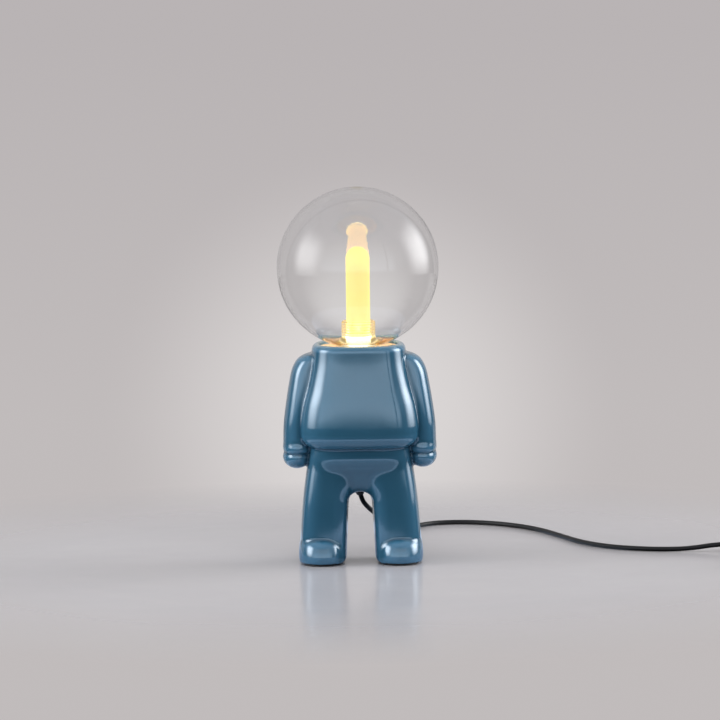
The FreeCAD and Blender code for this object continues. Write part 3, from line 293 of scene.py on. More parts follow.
def eased(line, share):
    """The value at each share on a smooth curve through (share, value) pairs."""
    spots = np.array([p[0] for p in line])
    values = np.array([p[1] for p in line])
    before = np.r_[0, np.arange(len(line) - 1)]
    after = np.r_[np.arange(1, len(line)), len(line) - 1]
    slope = (values[after] - values[before]) / (spots[after] - spots[before])
    share = np.clip(share, 0.0, 1.0)
    k = np.clip(np.searchsorted(spots, share, side="right") - 1, 0, len(line) - 2)
    width = spots[k + 1] - spots[k]
    t = (share - spots[k]) / width
    start = values[k] * (1 + 2 * t) * (1 - t) ** 2 + slope[k] * width * t * (1 - t) ** 2
    return start + values[k + 1] * t * t * (3 - 2 * t) - slope[k + 1] * width * t * t * (1 - t)


def oblong(x, y, half_x, half_y, squareness):
    """Distance from an upright outline between an ellipse (squareness 2) and a rectangle."""
    n = squareness
    u, v = np.abs(x) / half_x + 1e-6, np.abs(y) / half_y + 1e-6
    size = (u ** n + v ** n) ** (1 / n)
    slope = size ** (1 - n) * np.hypot(u ** (n - 1) / half_x, v ** (n - 1) / half_y)
    return (size - 1) / slope


# Casting
# Each line goes up the form it belongs to, as (share of its height, value). FLARE goes from the middle out.
BULGE = [(0.0, 0.9), (0.09, 0.96), (0.22, 1.0), (0.42, 0.8), (0.62, 0.42), (0.82, 0.13), (1.0, 0.0)]
REACH = [
    (0.0, 0.98), (0.13, 1.0), (0.3, 0.97), (0.48, 0.87), (0.68, 0.73), (0.84, 0.58), (0.93, 0.38), (1.0, 0.1),
]
TOE_BACK = [(0.0, 1.6), (0.12, 0.3), (0.26, 0.0), (0.45, 1.0), (0.66, 3.4), (0.84, 7.0), (1.0, 12.5)]
TOE_IN = [(0.0, 0.6), (0.15, 0.0), (0.34, 0.0), (0.56, 0.5), (0.76, 1.6), (1.0, 5.0)]
FLARE = [(0.0, 0.0), (0.28, 0.06), (0.5, 0.42), (0.656, 1.0), (1.0, 2.0)]
PELVIS_LINE = [
    (0.0, 18.5), (0.18, 21.5), (0.31, 24.8), (0.4, 27.4), (0.5, 31.2), (0.6, 34.0), (0.68, 34.8), (1.0, 35.0),
]


def jacket(x, y, z):
    bulge = eased(BULGE, (z - HEM_HEIGHT) / (RIM_TOP - HEM_HEIGHT))
    half_x = between(COLLAR_HALF_WIDTH, BELLY_HALF_WIDTH, bulge)
    half_y = between(COLLAR_HALF_DEPTH, BELLY_HALF_DEPTH, bulge)
    side = oblong(x, y, half_x, half_y, squareness=3.0)
    side = round_end(side, HEM_HEIGHT - z, HEM_ROUND)
    return round_end(side, z - RIM_TOP, COLLAR_ROUND)


def sleeve(x, y, z):
    share = (z - SLEEVE_END) / (SLEEVE_TOP - SLEEVE_END)
    fullness = between(0.9, 1.0, np.sin(math.pi * np.clip(share, 0.0, 1.0)))
    half = SLEEVE_HALF_WIDTH * fullness
    shoulder, elbow = COLLAR_HALF_WIDTH + SLEEVE_PROUD / 2, BELLY_HALF_WIDTH + SLEEVE_PROUD
    outer = between(shoulder, elbow, eased(REACH, share))
    side = oblong(x - outer + half, y, half, SLEEVE_HALF_DEPTH * fullness, squareness=2.3)
    side = round_end(side, SLEEVE_END - z, radius=3.5)
    return round_end(side, z - SLEEVE_TOP, radius=6.0)


def ball(x, y, z, centre, radii):
    """Distance from a ball that is drawn out along the axes."""
    u, v, w = [(value - c) / r for value, c, r in zip((x, y, z), centre, radii)]
    size = np.sqrt(u * u + v * v + w * w) + 1e-6
    slope = np.sqrt((u / radii[0]) ** 2 + (v / radii[1]) ** 2 + (w / radii[2]) ** 2) / size + 1e-6
    return (size - 1) / slope


def leg(x, y, z):
    rise = np.clip((z - PAD_THICKNESS) / (LEG_TAPER_TOP - PAD_THICKNESS), 0.0, 1.0) ** 2
    outer, inner = between(*LEG_OUTSIDE, rise), between(*LEG_INSIDE, rise)
    side = oblong(x - (outer + inner) / 2, y, (outer - inner) / 2, LEG_HALF_DEPTH, squareness=3.2)
    return round_end(np.maximum(side, PAD_THICKNESS - z), z - LEG_TOP, radius=14.0)


def hips(x, y, z):
    """Joins the legs. It stands out over them at the waist and draws in down to the arch."""
    depth = eased(PELVIS_LINE, (z - PELVIS_BOTTOM) / (PELVIS_TOP - PELVIS_BOTTOM))
    side = oblong(x, y, PELVIS_HALF_WIDTH, depth, squareness=3.2)
    return np.maximum(side, np.maximum(PELVIS_BOTTOM - z, z - PELVIS_TOP))


def arch(x, y, z):
    flare = eased(FLARE, np.abs(y) / (1.6 * LEG_HALF_DEPTH))
    half, top = ARCH_HALF_WIDTH + 6.0 * flare, ARCH_TOP + 7.0 * flare
    spring = top - half
    foot = np.maximum(half, ARCH_FOOT_HALF_WIDTH)
    wide = half + (foot - half) * np.clip((spring - z) / (spring + 5.0), 0.0, 1.0)
    return np.where(z > spring, np.hypot(x, z - spring) - half, np.abs(x) - wide)


def boot(x, y, z):
    share = (z - PAD_THICKNESS) / BOOT_HEIGHT
    drawn_in = eased(TOE_IN, share)
    front, back = eased(TOE_BACK, share) - BOOT_TOE, BOOT_HEEL - drawn_in / 2
    half_x, half_y = BOOT_HALF_WIDTH - drawn_in, (back - front) / 2
    side = oblong(x - BOOT_SPACING / 2, y - (front + back) / 2, half_x, half_y, squareness=2.35)
    side = round_end(side, PAD_THICKNESS - z, radius=1.2)
    return round_end(side, z - PAD_THICKNESS - BOOT_HEIGHT - 2.0, radius=13.0)


def mouth(x, y, z):
    """The well over the ledge and the bore through the ledge."""
    radius = np.hypot(x, y)
    well = np.maximum(radius - MOUTH_RADIUS, LEDGE_TOP - z)
    return well, np.maximum(radius - LEDGE_BORE, LEDGE_UNDER - 1 - z)


GLAND_LEAVE = np.array(LEAD_ROUTE[0])
GLAND_INWARD = GLAND_LEAVE - np.array(LEAD_ROUTE[1])
GLAND_INWARD /= np.linalg.norm(GLAND_INWARD)


def gland_hole(x, y, z):
    away = [v - c for v, c in zip((x, y, z), GLAND_LEAVE)]
    depth = sum(v * c for v, c in zip(away, GLAND_INWARD))
    radius = np.sqrt(np.maximum(sum(v * v for v in away) - depth * depth, 0.0))
    outside = np.maximum(radius - GLAND_HOLE_RADIUS, np.maximum(depth - GLAND_SEAT, -20.0 - depth))
    through = np.maximum(radius - CORD_HOLE_RADIUS, np.maximum(-depth, depth - GLAND_SEAT - 30.0))
    return np.minimum(outside, through)


def figure(x, y, z):
    """Distance outside the figure before it is hollowed, with glaze-filled valleys between its forms."""
    across = np.abs(x)
    arm = soft_union(sleeve(across, y, z), ball(across, y, z, CUFF_CENTRE, CUFF_RADII), width=4.0)
    arm = soft_union(arm, ball(across, y, z, GLOVE_CENTRE, GLOVE_RADII), width=2.4)
    legs = soft_union(leg(across, y, z), hips(x, y, z), width=5.0)
    legs = soft_cut(legs, arch(x, y, z), width=12.0)
    legs = soft_union(legs, boot(across, y, z), width=3.5)
    body = soft_union(jacket(x, y, z), legs, width=3.0)
    return soft_union(body, arm, width=3.5)


def casting(x, y, z):
    """Distance outside the hollow casting's material."""
    whole = figure(x, y, z)
    hollow = np.maximum(whole + WALL, z - LEDGE_UNDER)
    well, bore = mouth(x, y, z)
    solid = np.maximum(whole, -hollow)
    solid = soft_cut(solid, well, RIM_ROUND * 2.4)
    return np.maximum(np.maximum(solid, -bore), -gland_hole(x, y, z))


def skin(distance, low, high, step):
    """Points and four-sided faces of the closed surface where the distance is 0."""
    low = np.array(low, dtype=float)
    axes = [np.arange(a, b + step, step) for a, b in zip(low, high)]
    value = distance(*np.meshgrid(*axes, indexing="ij"))
    inside = value < 0
    corners = [np.array((i, j, k)) for i in (0, 1) for j in (0, 1) for k in (0, 1)]
    spans = [tuple(slice(c, n - 1 + c) for c, n in zip(corner, inside.shape)) for corner in corners]
    filled = sum(inside[s].astype(int) for s in spans)
    cut = (filled > 0) & (filled < 8)
    number = np.full(cut.shape, -1)
    number[cut] = np.arange(cut.sum())
    cells = np.argwhere(cut)
    total, hits = np.zeros(cells.shape), np.zeros(len(cells))
    for corner in corners:
        for axis in range(3):
            if corner[axis]:
                continue
            way = np.eye(3, dtype=int)[axis]
            a = value[tuple((cells + corner).T)]
            b = value[tuple((cells + corner + way).T)]
            crossed = (a < 0) != (b < 0)
            part = np.where(crossed, a / np.where(crossed, a - b, 1.0), 0.0)
            total += (corner + part[:, None] * way) * crossed[:, None]
            hits += crossed
    points = low + (cells + total / hits[:, None]) * step
    faces = []
    for axis in range(3):
        u, v = np.eye(3, dtype=int)[(axis + 1) % 3], np.eye(3, dtype=int)[(axis + 2) % 3]
        way = np.eye(3, dtype=int)[axis]
        here = inside[tuple(slice(0, n - w) for n, w in zip(inside.shape, way))]
        ahead = inside[tuple(slice(w, n) for n, w in zip(inside.shape, way))]
        edges = np.argwhere(here != ahead)
        quad = np.stack([number[tuple((edges - shift).T)] for shift in (u + v, v, 0 * u, u)], axis=1)
        leaving = here[tuple(edges.T)]
        faces.append(np.where(leaving[:, None], quad, quad[:, ::-1]))
    return points, np.concatenate(faces)


def slope_of(distance, points, reach=0.05):
    """How the distance rises along X, Y and Z at each point."""
    rises = []
    for way in np.eye(3) * reach:
        rises.append((distance(*(points + way).T) - distance(*(points - way).T)) / (2 * reach))
    return np.stack(rises, axis=1)


def settle(distance, points, rounds=3, most=0.6):
    """Moves the points on to the surface itself."""
    for _ in range(rounds):
        slope = slope_of(distance, points)
        shift = slope * (distance(*points.T) / np.maximum((slope ** 2).sum(axis=1), 0.05))[:, None]
        size = np.linalg.norm(shift, axis=1, keepdims=True)
        points = points - shift * np.minimum(1.0, most / np.maximum(size, 1e-9))
    return points


def bend_of(distance, points, reach=1.4):
    """Positive on edges, where glaze runs thin, and negative in valleys, where it pools."""
    around = sum(distance(*(points + way).T) + distance(*(points - way).T) for way in np.eye(3) * reach)
    return (around - 6 * distance(*points.T)) / reach ** 2


def make_casting():
    points, faces = skin(casting, low=(-74.5, -50.5, 0.4), high=(74.5, 50.5, 207.0), step=1.55)
    points = settle(casting, points)
    piece = piece_from("ceramic_figure", points, faces)
    slope = slope_of(casting, points, 0.25)
    normals = slope / np.linalg.norm(slope, axis=1, keepdims=True)
    piece.data.normals_split_custom_set_from_vertices([tuple(n) for n in normals])
    bend = piece.data.attributes.new("bend", "FLOAT", "POINT")
    bend.data.foreach_set("value", np.clip(bend_of(figure, points), -0.6, 0.6).astype(np.float32))
    return piece


# Node trees
def feed(tree, made, **inputs):
    """Links each input to a socket or sets it to a value.

    An underscore stands for a space in the input's name, and i0 is the first input, whatever its name.
    """
    for name, value in inputs.items():
        key = int(name[1:]) if name[0] == "i" and name[1:].isdigit() else name.replace("_", " ")
        socket = made.inputs[key]
        if isinstance(value, bpy.types.NodeSocket):
            tree.links.new(value, socket)
        else:
            socket.default_value = value


def node(tree, kind, settings=None, **inputs):
    """Adds a node with its settings and its inputs."""
    made = tree.nodes.new(kind)
    for name, value in (settings or {}).items():
        setattr(made, name, value)
    feed(tree, made, **inputs)
    return made


def ramp(tree, factor, stops):
    """A colour ramp through (place, colour) stops."""
    made = node(tree, "ShaderNodeValToRGB", i0=factor)
    elements = made.color_ramp.elements
    while len(elements) < len(stops):
        elements.new(0.5)
    for element, (place, colour) in zip(elements, stops):
        element.position = place
        element.color = (*colour, 1.0)
    return made.outputs["Color"]


def spread(tree, value, low, high, to_low, to_high):
    """Takes a value from one span to another and holds it there."""
    made = node(tree, "ShaderNodeMapRange", Value=value, From_Min=low, From_Max=high,
                To_Min=to_low, To_Max=to_high)
    return made.outputs["Result"]


def calc(tree, operation, a, b=0.0):
    """One step of arithmetic on one or two values."""
    return node(tree, "ShaderNodeMath", {"operation": operation}, i0=a, i1=b).outputs[0]


def blend(tree, factor, a, b):
    """Mixes two colours, each a socket or red, green and blue."""
    a, b = [c if isinstance(c, bpy.types.NodeSocket) else (*c, 1.0) for c in (a, b)]
    return node(tree, "ShaderNodeMix", {"data_type": "RGBA"}, i0=factor, i6=a, i7=b).outputs[2]


def smooth(tree, value, low, high):
    """Rises from 0 to 1 from the low value to the high one, with soft ends."""
    made = node(tree, "ShaderNodeMapRange", {"interpolation_type": "SMOOTHSTEP"}, Value=value,
                From_Min=low, From_Max=high)
    return made.outputs["Result"]


def length_of(tree, vector):
    return node(tree, "ShaderNodeVectorMath", {"operation": "LENGTH"}, i0=vector).outputs["Value"]


def height_and_radius(tree, place):
    """How high a place is, and how far it is from the globe's axis."""
    parts = node(tree, "ShaderNodeSeparateXYZ", Vector=place)
    level = node(tree, "ShaderNodeCombineXYZ", X=parts.outputs["X"], Y=parts.outputs["Y"])
    return parts.outputs["Z"], length_of(tree, level.outputs[0])


def group(name, inputs, outputs):
    """A new shader node group with named sockets."""
    tree = bpy.data.node_groups.new(name, "ShaderNodeTree")
    kinds = {"value": "NodeSocketFloat", "vector": "NodeSocketVector"}
    for label, kind in outputs:
        tree.interface.new_socket(label, in_out="OUTPUT", socket_type=kinds[kind])
    for label, kind, preset in inputs:
        socket = tree.interface.new_socket(label, in_out="INPUT", socket_type=kinds[kind])
        if preset is not None:
            socket.default_value = preset
    return tree, tree.nodes.new("NodeGroupInput"), tree.nodes.new("NodeGroupOutput")


def noise(tree, place, scale, detail=3.0, roughness=0.5):
    made = node(tree, "ShaderNodeTexNoise", Vector=place, Scale=scale, Detail=detail, Roughness=roughness)
    return made.outputs["Fac"]


def handling_group():
    """Smudges, fine specks and a soft waviness, each at its own size."""
    tree, given, result = group(
        "handling",
        [("Place", "vector", None), ("Smudge Scale", "value", 40.0), ("Least", "value", 0.1),
         ("Most", "value", 0.3), ("Wave Scale", "value", 20.0), ("Grain Scale", "value", 900.0),
         ("Grain", "value", 0.2)],
        [("Roughness", "value"), ("Height", "value"), ("Mask", "value")],
    )
    place = given.outputs["Place"]
    smudge = noise(tree, place, given.outputs["Smudge Scale"], 5.0, 0.6)
    sharp = spread(tree, smudge, 0.35, 0.68, 0.0, 1.0)
    span = calc(tree, "SUBTRACT", given.outputs["Most"], given.outputs["Least"])
    rough = calc(tree, "ADD", given.outputs["Least"], calc(tree, "MULTIPLY", sharp, span))
    wave = noise(tree, place, given.outputs["Wave Scale"], 1.0, 0.3)
    grain = noise(tree, place, given.outputs["Grain Scale"], 2.0, 0.6)
    height = calc(tree, "ADD", wave, calc(tree, "MULTIPLY", grain, given.outputs["Grain"]))
    feed(tree, result, Roughness=rough, Height=height, Mask=sharp)
    return tree


HANDLING = handling_group()


def material(name):
    """A new material with its Principled shader, its tree and its object coordinates."""
    made = bpy.data.materials.new(name)
    made.use_nodes = True
    tree = made.node_tree
    shader = tree.nodes["Principled BSDF"]
    place = tree.nodes.new("ShaderNodeTexCoord").outputs["Object"]
    return made, tree, shader, place


def handling(tree, place, **values):
    return node(tree, "ShaderNodeGroup", {"node_tree": HANDLING}, Place=place, **values).outputs


def put_bump(tree, shader, height, strength, distance):
    bump = node(tree, "ShaderNodeBump", Height=height, Strength=strength, Distance=distance)
    feed(tree, shader, Normal=bump.outputs["Normal"])


def put_swap(tree, factor, usual, other):
    """Shows the other shader in place of the usual one, by the factor."""
    mix = node(tree, "ShaderNodeMixShader", i0=factor, i1=usual.outputs[0], i2=other.outputs[0])
    feed(tree, tree.nodes["Material Output"], Surface=mix.outputs[0])


def moulded(name, pale, deep, least, most, coat=0.0, wave=60.0, metal=0.0, gleam=0.5):
    """A plain moulded, turned or drawn finish: two close tones, smudged gloss and a fine surface."""
    made, tree, shader, place = material(name)
    touched = handling(tree, place, Smudge_Scale=wave, Least=least, Most=most,
                       Wave_Scale=wave * 2, Grain_Scale=900.0)
    feed(tree, shader, Base_Color=blend(tree, touched["Mask"], pale, deep), Roughness=touched["Roughness"],
         Metallic=metal, Coat_Weight=coat, Specular_IOR_Level=gleam)
    put_bump(tree, shader, touched["Height"], 0.15, 0.0002)
    return made


def glaze():
    """Glossy blue glaze: darker where it pools, paler where it thins on edges, with downward runs."""
    made, tree, shader, place = material("blue_glaze")
    bend = node(tree, "ShaderNodeAttribute", {"attribute_name": "bend"}).outputs["Fac"]
    drift = noise(tree, place, 14.0, 2.0, 0.4)
    mottle = noise(tree, place, 220.0, 3.0, 0.6)
    tone = ramp(tree, drift, [(0.3, (0.019, 0.082, 0.142)), (0.7, (0.027, 0.104, 0.174))])
    thin = spread(tree, bend, 0.02, 0.16, 0.0, 0.6)
    tone = blend(tree, thin, tone, (0.055, 0.17, 0.29))
    pooled = spread(tree, bend, -0.02, -0.3, 0.0, 0.6)
    tone = blend(tree, pooled, tone, (0.004, 0.032, 0.068))
    speck = spread(tree, mottle, 0.55, 0.75, 0.0, 0.12)
    tone = blend(tree, speck, tone, (0.04, 0.14, 0.2))
    touched = handling(tree, place, Smudge_Scale=26.0, Least=0.07, Most=0.13,
                       Wave_Scale=30.0, Grain_Scale=600.0, Grain=0.05)
    high, radius = height_and_radius(tree, place)
    within = spread(tree, radius, (MOUTH_RADIUS + 1.0) * MM, (MOUTH_RADIUS + 0.2) * MM, 0.0, 1.0)
    under_rim = spread(tree, high, (RIM_TOP - 2.0) * MM, (RIM_TOP - 3.5) * MM, 0.0, 1.0)
    over_ledge = spread(tree, high, (LEDGE_TOP - 2.0) * MM, (LEDGE_TOP - 1.0) * MM, 0.0, 1.0)
    bare = calc(tree, "MULTIPLY", calc(tree, "MULTIPLY", within, under_rim), over_ledge)
    worn = spread(tree, high, (RIM_TOP - 1.5) * MM, (RIM_TOP - 0.2) * MM, 0.0, 0.6)
    tone = blend(tree, worn, tone, (0.17, 0.27, 0.33))
    tone = blend(tree, bare, tone, (0.62, 0.55, 0.46))
    rough = calc(tree, "ADD", touched["Roughness"], calc(tree, "MULTIPLY", bare, 0.5))
    # Painted cool light: the specular tint makes every highlight and reflection on the glaze bluish
    feed(tree, shader, Base_Color=tone, Roughness=rough, IOR=1.95, Specular_Tint=(0.76, 0.88, 1.0, 1.0))
    drawn_out = node(tree, "ShaderNodeVectorMath", {"operation": "MULTIPLY"}, i0=place, i1=(1.0, 1.0, 0.16))
    runs = noise(tree, drawn_out.outputs[0], 75.0, 1.0, 0.3)
    height = calc(tree, "ADD", calc(tree, "MULTIPLY", touched["Height"], 0.5), runs)
    put_bump(tree, shader, height, 0.25, 0.0012)
    return made


# Painted reflection: the neck's painted glow is this much brighter where the far wall of the globe mirrors
# it, from this many metres on.
PAINTED_MIRROR_BOOST = 160.0
MIRROR_ACROSS = (0.085, 0.095)


def clear_glass():
    """Blown glass. Lamps reach through it, because the lamp inside lights what is outside. Its neck has a
    painted glow, with painted shade in the thread's grooves and a painted brighter reflection of that glow.
    """
    made, tree, shader, place = material("blown_glass")
    put_bump(tree, shader, noise(tree, place, 16.0, 2.0, 0.4), 0.08, 0.002)
    high, radius = height_and_radius(tree, place)
    # Painted glow on the glass neck, warmest low down and fading out at the lip
    neck = spread(tree, radius, (NECK_RADIUS + 1.2) * MM, NECK_RADIUS * MM, 0.0, 1.0)
    rise = spread(tree, high, (PLATE_TOP + 10.0) * MM, (NECK_LIP + 1.0) * MM, 0.0, 1.0)
    painted_neck_glow = ramp(tree, rise, [
        (0.1, (0.6, 0.5, 0.25)), (0.4, (0.42, 0.32, 0.11)), (0.55, (0.22, 0.14, 0.02)),
        (0.96, (0.19, 0.115, 0.012)), (1.0, (0.0, 0.0, 0.0)),
    ])
    one_band_a_turn = 2 * math.pi / (20 * NECK_THREAD_PITCH * MM)
    thread = node(tree, "ShaderNodeTexWave", {"bands_direction": "Z"}, Vector=place, Scale=one_band_a_turn)
    threaded = spread(tree, high, (CUP_TOP + 0.5) * MM, (CUP_TOP + 1.5) * MM, 0.0, 1.0)
    # Painted shade in the thread's grooves: less glow there, and a warm tint in the glass
    groove = calc(tree, "MULTIPLY", spread(tree, thread.outputs["Fac"], 0.35, 0.1, 0.0, 0.7), threaded)
    painted_glow_mask = calc(tree, "MULTIPLY", neck, calc(tree, "SUBTRACT", 1.0, groove))
    lines = calc(tree, "MULTIPLY", groove, neck)
    # Painted reflection: rays mirrored off the globe's far wall see the neck's glow far brighter
    path = tree.nodes.new("ShaderNodeLightPath")
    across = spread(tree, path.outputs["Ray Length"], *MIRROR_ACROSS, 0.0, 1.0)
    mirrored = calc(tree, "MULTIPLY", path.outputs["Is Reflection Ray"], across)
    feed(tree, shader, Transmission_Weight=1.0, Roughness=0.0, IOR=1.43,
         Base_Color=blend(tree, lines, (0.985, 0.99, 0.99), (0.78, 0.66, 0.28)),
         Emission_Color=blend(tree, painted_glow_mask, (0.0, 0.0, 0.0), painted_neck_glow),
         Emission_Strength=calc(tree, "ADD", 1.0, calc(tree, "MULTIPLY", mirrored, PAINTED_MIRROR_BOOST)))
    open_air = node(tree, "ShaderNodeBsdfTransparent", Color=(0.93, 0.94, 0.94, 1.0))
    put_swap(tree, path.outputs["Is Shadow Ray"], shader, open_air)
    return made


def lit_glass():
    """Frosted glass of the lit tube: warmest in the middle, where the filament board is."""
    made, tree, shader, place = material("lit_frosted_glass")
    facing = node(tree, "ShaderNodeLayerWeight", Blend=0.35).outputs["Facing"]
    high = node(tree, "ShaderNodeSeparateXYZ", Vector=place).outputs["Z"]
    rise = spread(tree, high, BULB_FOOT * MM, BULB_TOP * MM, 0.0, 1.0)
    cloud = noise(tree, place, 90.0, 2.0, 0.5)
    rise = calc(tree, "ADD", rise, calc(tree, "MULTIPLY", cloud, 0.12))
    centre = ramp(tree, rise, [
        (0.05, (0.99, 0.92, 0.34)), (0.45, (0.97, 0.84, 0.25)), (0.8, (0.97, 0.74, 0.24)),
        (1.0, (0.98, 0.87, 0.26)),
    ])
    plain = blend(tree, facing, centre, (0.97, 0.88, 0.22))
    path = tree.nodes.new("ShaderNodeLightPath")
    glow = blend(tree, path.outputs["Is Reflection Ray"], plain, (14.0, 7.6, 0.9))
    feed(tree, shader, Base_Color=(0.12, 0.11, 0.08, 1.0), Roughness=0.45,
         Emission_Color=glow, Emission_Strength=1.0)
    return made


def painted_glow_plastic():
    """White plastic of the cup, with a painted glow towards its top, where the lamp above it lights through.
    """
    made, tree, shader, place = material("lit_white_plastic")
    touched = handling(tree, place, Smudge_Scale=60.0, Least=0.25, Most=0.4,
                       Wave_Scale=90.0, Grain_Scale=900.0)
    tone = blend(tree, touched["Mask"], (0.8, 0.79, 0.75), (0.74, 0.72, 0.68))
    put_bump(tree, shader, touched["Height"], 0.15, 0.0002)
    # Painted glow: emission that rises to near white at the cup's top, though the cup is no lamp
    high = node(tree, "ShaderNodeSeparateXYZ", Vector=place).outputs["Z"]
    rise = spread(tree, high, PLATE_TOP * MM, CUP_TOP * MM, 0.0, 1.0)
    glow = ramp(tree, rise, [
        (0.1, (0.0, 0.0, 0.0)), (0.4, (0.45, 0.22, 0.06)), (0.68, (1.0, 0.86, 0.5)), (0.9, (1.0, 0.98, 0.86)),
    ])
    feed(tree, shader, Base_Color=tone, Roughness=touched["Roughness"],
         Emission_Color=glow, Emission_Strength=1.0)
    return made


# Globe, lamp and lampholder
def make_globe():
    """Ball, rounded throat and the neck that stands up inside it."""
    inner = GLOBE_RADIUS - GLASS_WALL
    throat_radius = NECK_RADIUS + THROAT_FILLET
    throat = GLOBE_CENTRE - math.sqrt(inner ** 2 - throat_radius ** 2) + THROAT_FILLET
    thread_top = NECK_LIP - 3.0
    foot_angle = -math.degrees(math.acos(GLOBE_FOOT_RADIUS / GLOBE_RADIUS))
    throat_angle = -math.degrees(math.acos(throat_radius / inner))
    profile = [(0.0, GLOBE_CENTRE + GLOBE_RADIUS)]
    profile += arc((0.0, GLOBE_CENTRE), GLOBE_RADIUS, 88.0, foot_angle, 72)
    profile += [(GLOBE_FOOT_RADIUS - 0.4, GLOBE_FOOT), (NECK_BORE + 0.3, GLOBE_FOOT)]
    profile += [(NECK_BORE, GLOBE_FOOT + up) for up in (0.3, 6.0, 14.0)]
    lip = (NECK_RADIUS - NECK_BORE) / 2
    profile += arc((NECK_BORE + lip, NECK_LIP - lip), lip, 180.0, 0.0, 10)
    rows = 66
    profile += [(NECK_RADIUS, between(thread_top, throat + 0.5, k / rows)) for k in range(rows + 1)]
    profile += arc((throat_radius, throat), THROAT_FILLET, 180.0, 262.0, 12)
    profile += arc((0.0, GLOBE_CENTRE), inner, throat_angle + 0.8, 88.0, 70)
    profile += [(0.0, GLOBE_CENTRE + inner)]
    made = lathe("blown_globe", profile, 160)
    for point in made.data.vertices:
        x, y, z = point.co / MM
        radius = math.hypot(x, y)
        if abs(radius - NECK_RADIUS) > 0.01 or z < throat:
            continue
        turns = (z - GLOBE_FOOT) / NECK_THREAD_PITCH - math.atan2(y, x) / (2 * math.pi)
        ends = min(1.0, max(0.0, (thread_top - z) / 2.0)) * min(1.0, max(0.0, (z - throat) / 2.0))
        ridge = NECK_THREAD_DEPTH * ends * max(0.0, math.cos(2 * math.pi * turns)) ** 1.5
        wider = (1 + ridge / radius) * MM
        point.co = (x * wider, y * wider, z * MM)
    return made


def make_bulb():
    crown = BULB_TOP - BULB_RADIUS
    inner = BULB_RADIUS - BULB_GLASS
    middle = BULB_FOOT + 40.0
    profile = [(0.0, BULB_TOP)] + arc((0.0, crown), BULB_RADIUS, 86.0, 0.0, 20)
    profile += [(BULB_RADIUS, middle), (BULB_RADIUS, BULB_FOOT + 1.2), (BULB_RADIUS - 0.35, BULB_FOOT)]
    profile += [(inner, BULB_FOOT), (inner, middle)] + arc((0.0, crown), inner, 0.0, 86.0, 20)
    profile += [(0.0, crown + inner)]
    return lathe("tube_glass", profile, 96)


globe = make_globe()
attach(globe, "globe")
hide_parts("glass_globe")
globe.data.materials.append(clear_glass())

tube_glass = make_bulb()
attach(tube_glass, "bulb")
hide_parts("bulb_tube")
tube_glass.data.materials.append(lit_glass())

casting_piece = make_casting()
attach(casting_piece, "root")
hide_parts("body_casting")
casting_piece.data.materials.append(glaze())

SHEATH = moulded("cord_sheath", (0.004, 0.004, 0.005), (0.007, 0.007, 0.008), 0.42, 0.56,
                 wave=70.0, gleam=0.3)
power_cord.data.materials.append(SHEATH)
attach(power_cord, "root")
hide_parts("cord_lead", "cord_link", "cord_coil", "cord_tail")


# Ribs and ridges
def detail_tree(name, finish, sizes):
    """A tree with named sizes. It gives back the tree, its inputs and a closing step."""
    tree = bpy.data.node_groups.new(name, "GeometryNodeTree")
    tree.interface.new_socket("Geometry", in_out="OUTPUT", socket_type="NodeSocketGeometry")
    for label, kind, preset in [("Count", "NodeSocketInt", 5)] + sizes:
        tree.interface.new_socket(label, in_out="INPUT", socket_type=kind).default_value = preset
    given = tree.nodes.new("NodeGroupInput").outputs

    def close(instances):
        solid = node(tree, "GeometryNodeRealizeInstances", Geometry=instances).outputs[0]
        solid = node(tree, "GeometryNodeMergeByDistance", Geometry=solid, Distance=1e-6).outputs[0]
        solid = node(tree, "GeometryNodeSetShadeSmooth", Geometry=solid, Shade_Smooth=True).outputs[0]
        solid = node(tree, "GeometryNodeSetMaterial", Geometry=solid, Material=finish).outputs[0]
        tree.links.new(solid, tree.nodes.new("NodeGroupOutput").inputs[0])

    return tree, given, close


def row_of_places(tree, given):
    """Points from the first place to the last, and each one's share of the way."""
    line = node(tree, "GeometryNodeMeshLine", {"mode": "END_POINTS"}, Count=given["Count"],
                Start_Location=given["First"], Offset=given["Last"])
    place = tree.nodes.new("GeometryNodeInputIndex").outputs[0]
    share = calc(tree, "DIVIDE", place, calc(tree, "SUBTRACT", given["Count"], 1.0))
    return line.outputs[0], share


def beaded(tree, given, lines, **settings):
    """A round bead along every line."""
    path = node(tree, "GeometryNodeRealizeInstances", Geometry=lines.outputs[0]).outputs[0]
    bead = node(tree, "GeometryNodeCurvePrimitiveCircle", Resolution=12, Radius=given["Bead"]).outputs[0]
    return node(tree, "GeometryNodeCurveToMesh", Curve=path, Profile_Curve=bead, **settings).outputs[0]


def rings_tree(finish):
    """Rings in a row along X, from one radius to another."""
    tree, given, close = detail_tree("rings", finish, [
        ("First", "NodeSocketVector", (0.0, 0.0, 0.0)), ("Last", "NodeSocketVector", (0.02, 0.0, 0.0)),
        ("First Radius", "NodeSocketFloat", 0.0045), ("Last Radius", "NodeSocketFloat", 0.0035),
        ("Bead", "NodeSocketFloat", 0.0005)])
    line, share = row_of_places(tree, given)
    loop = node(tree, "GeometryNodeCurvePrimitiveCircle", Resolution=40, Radius=1.0).outputs[0]
    radius = spread(tree, share, 0.0, 1.0, given["First Radius"], given["Last Radius"])
    rings = node(tree, "GeometryNodeInstanceOnPoints", Points=line, Instance=loop,
                 Rotation=(0.0, math.pi / 2, 0.0), Scale=radius)
    close(beaded(tree, given, rings))
    return tree


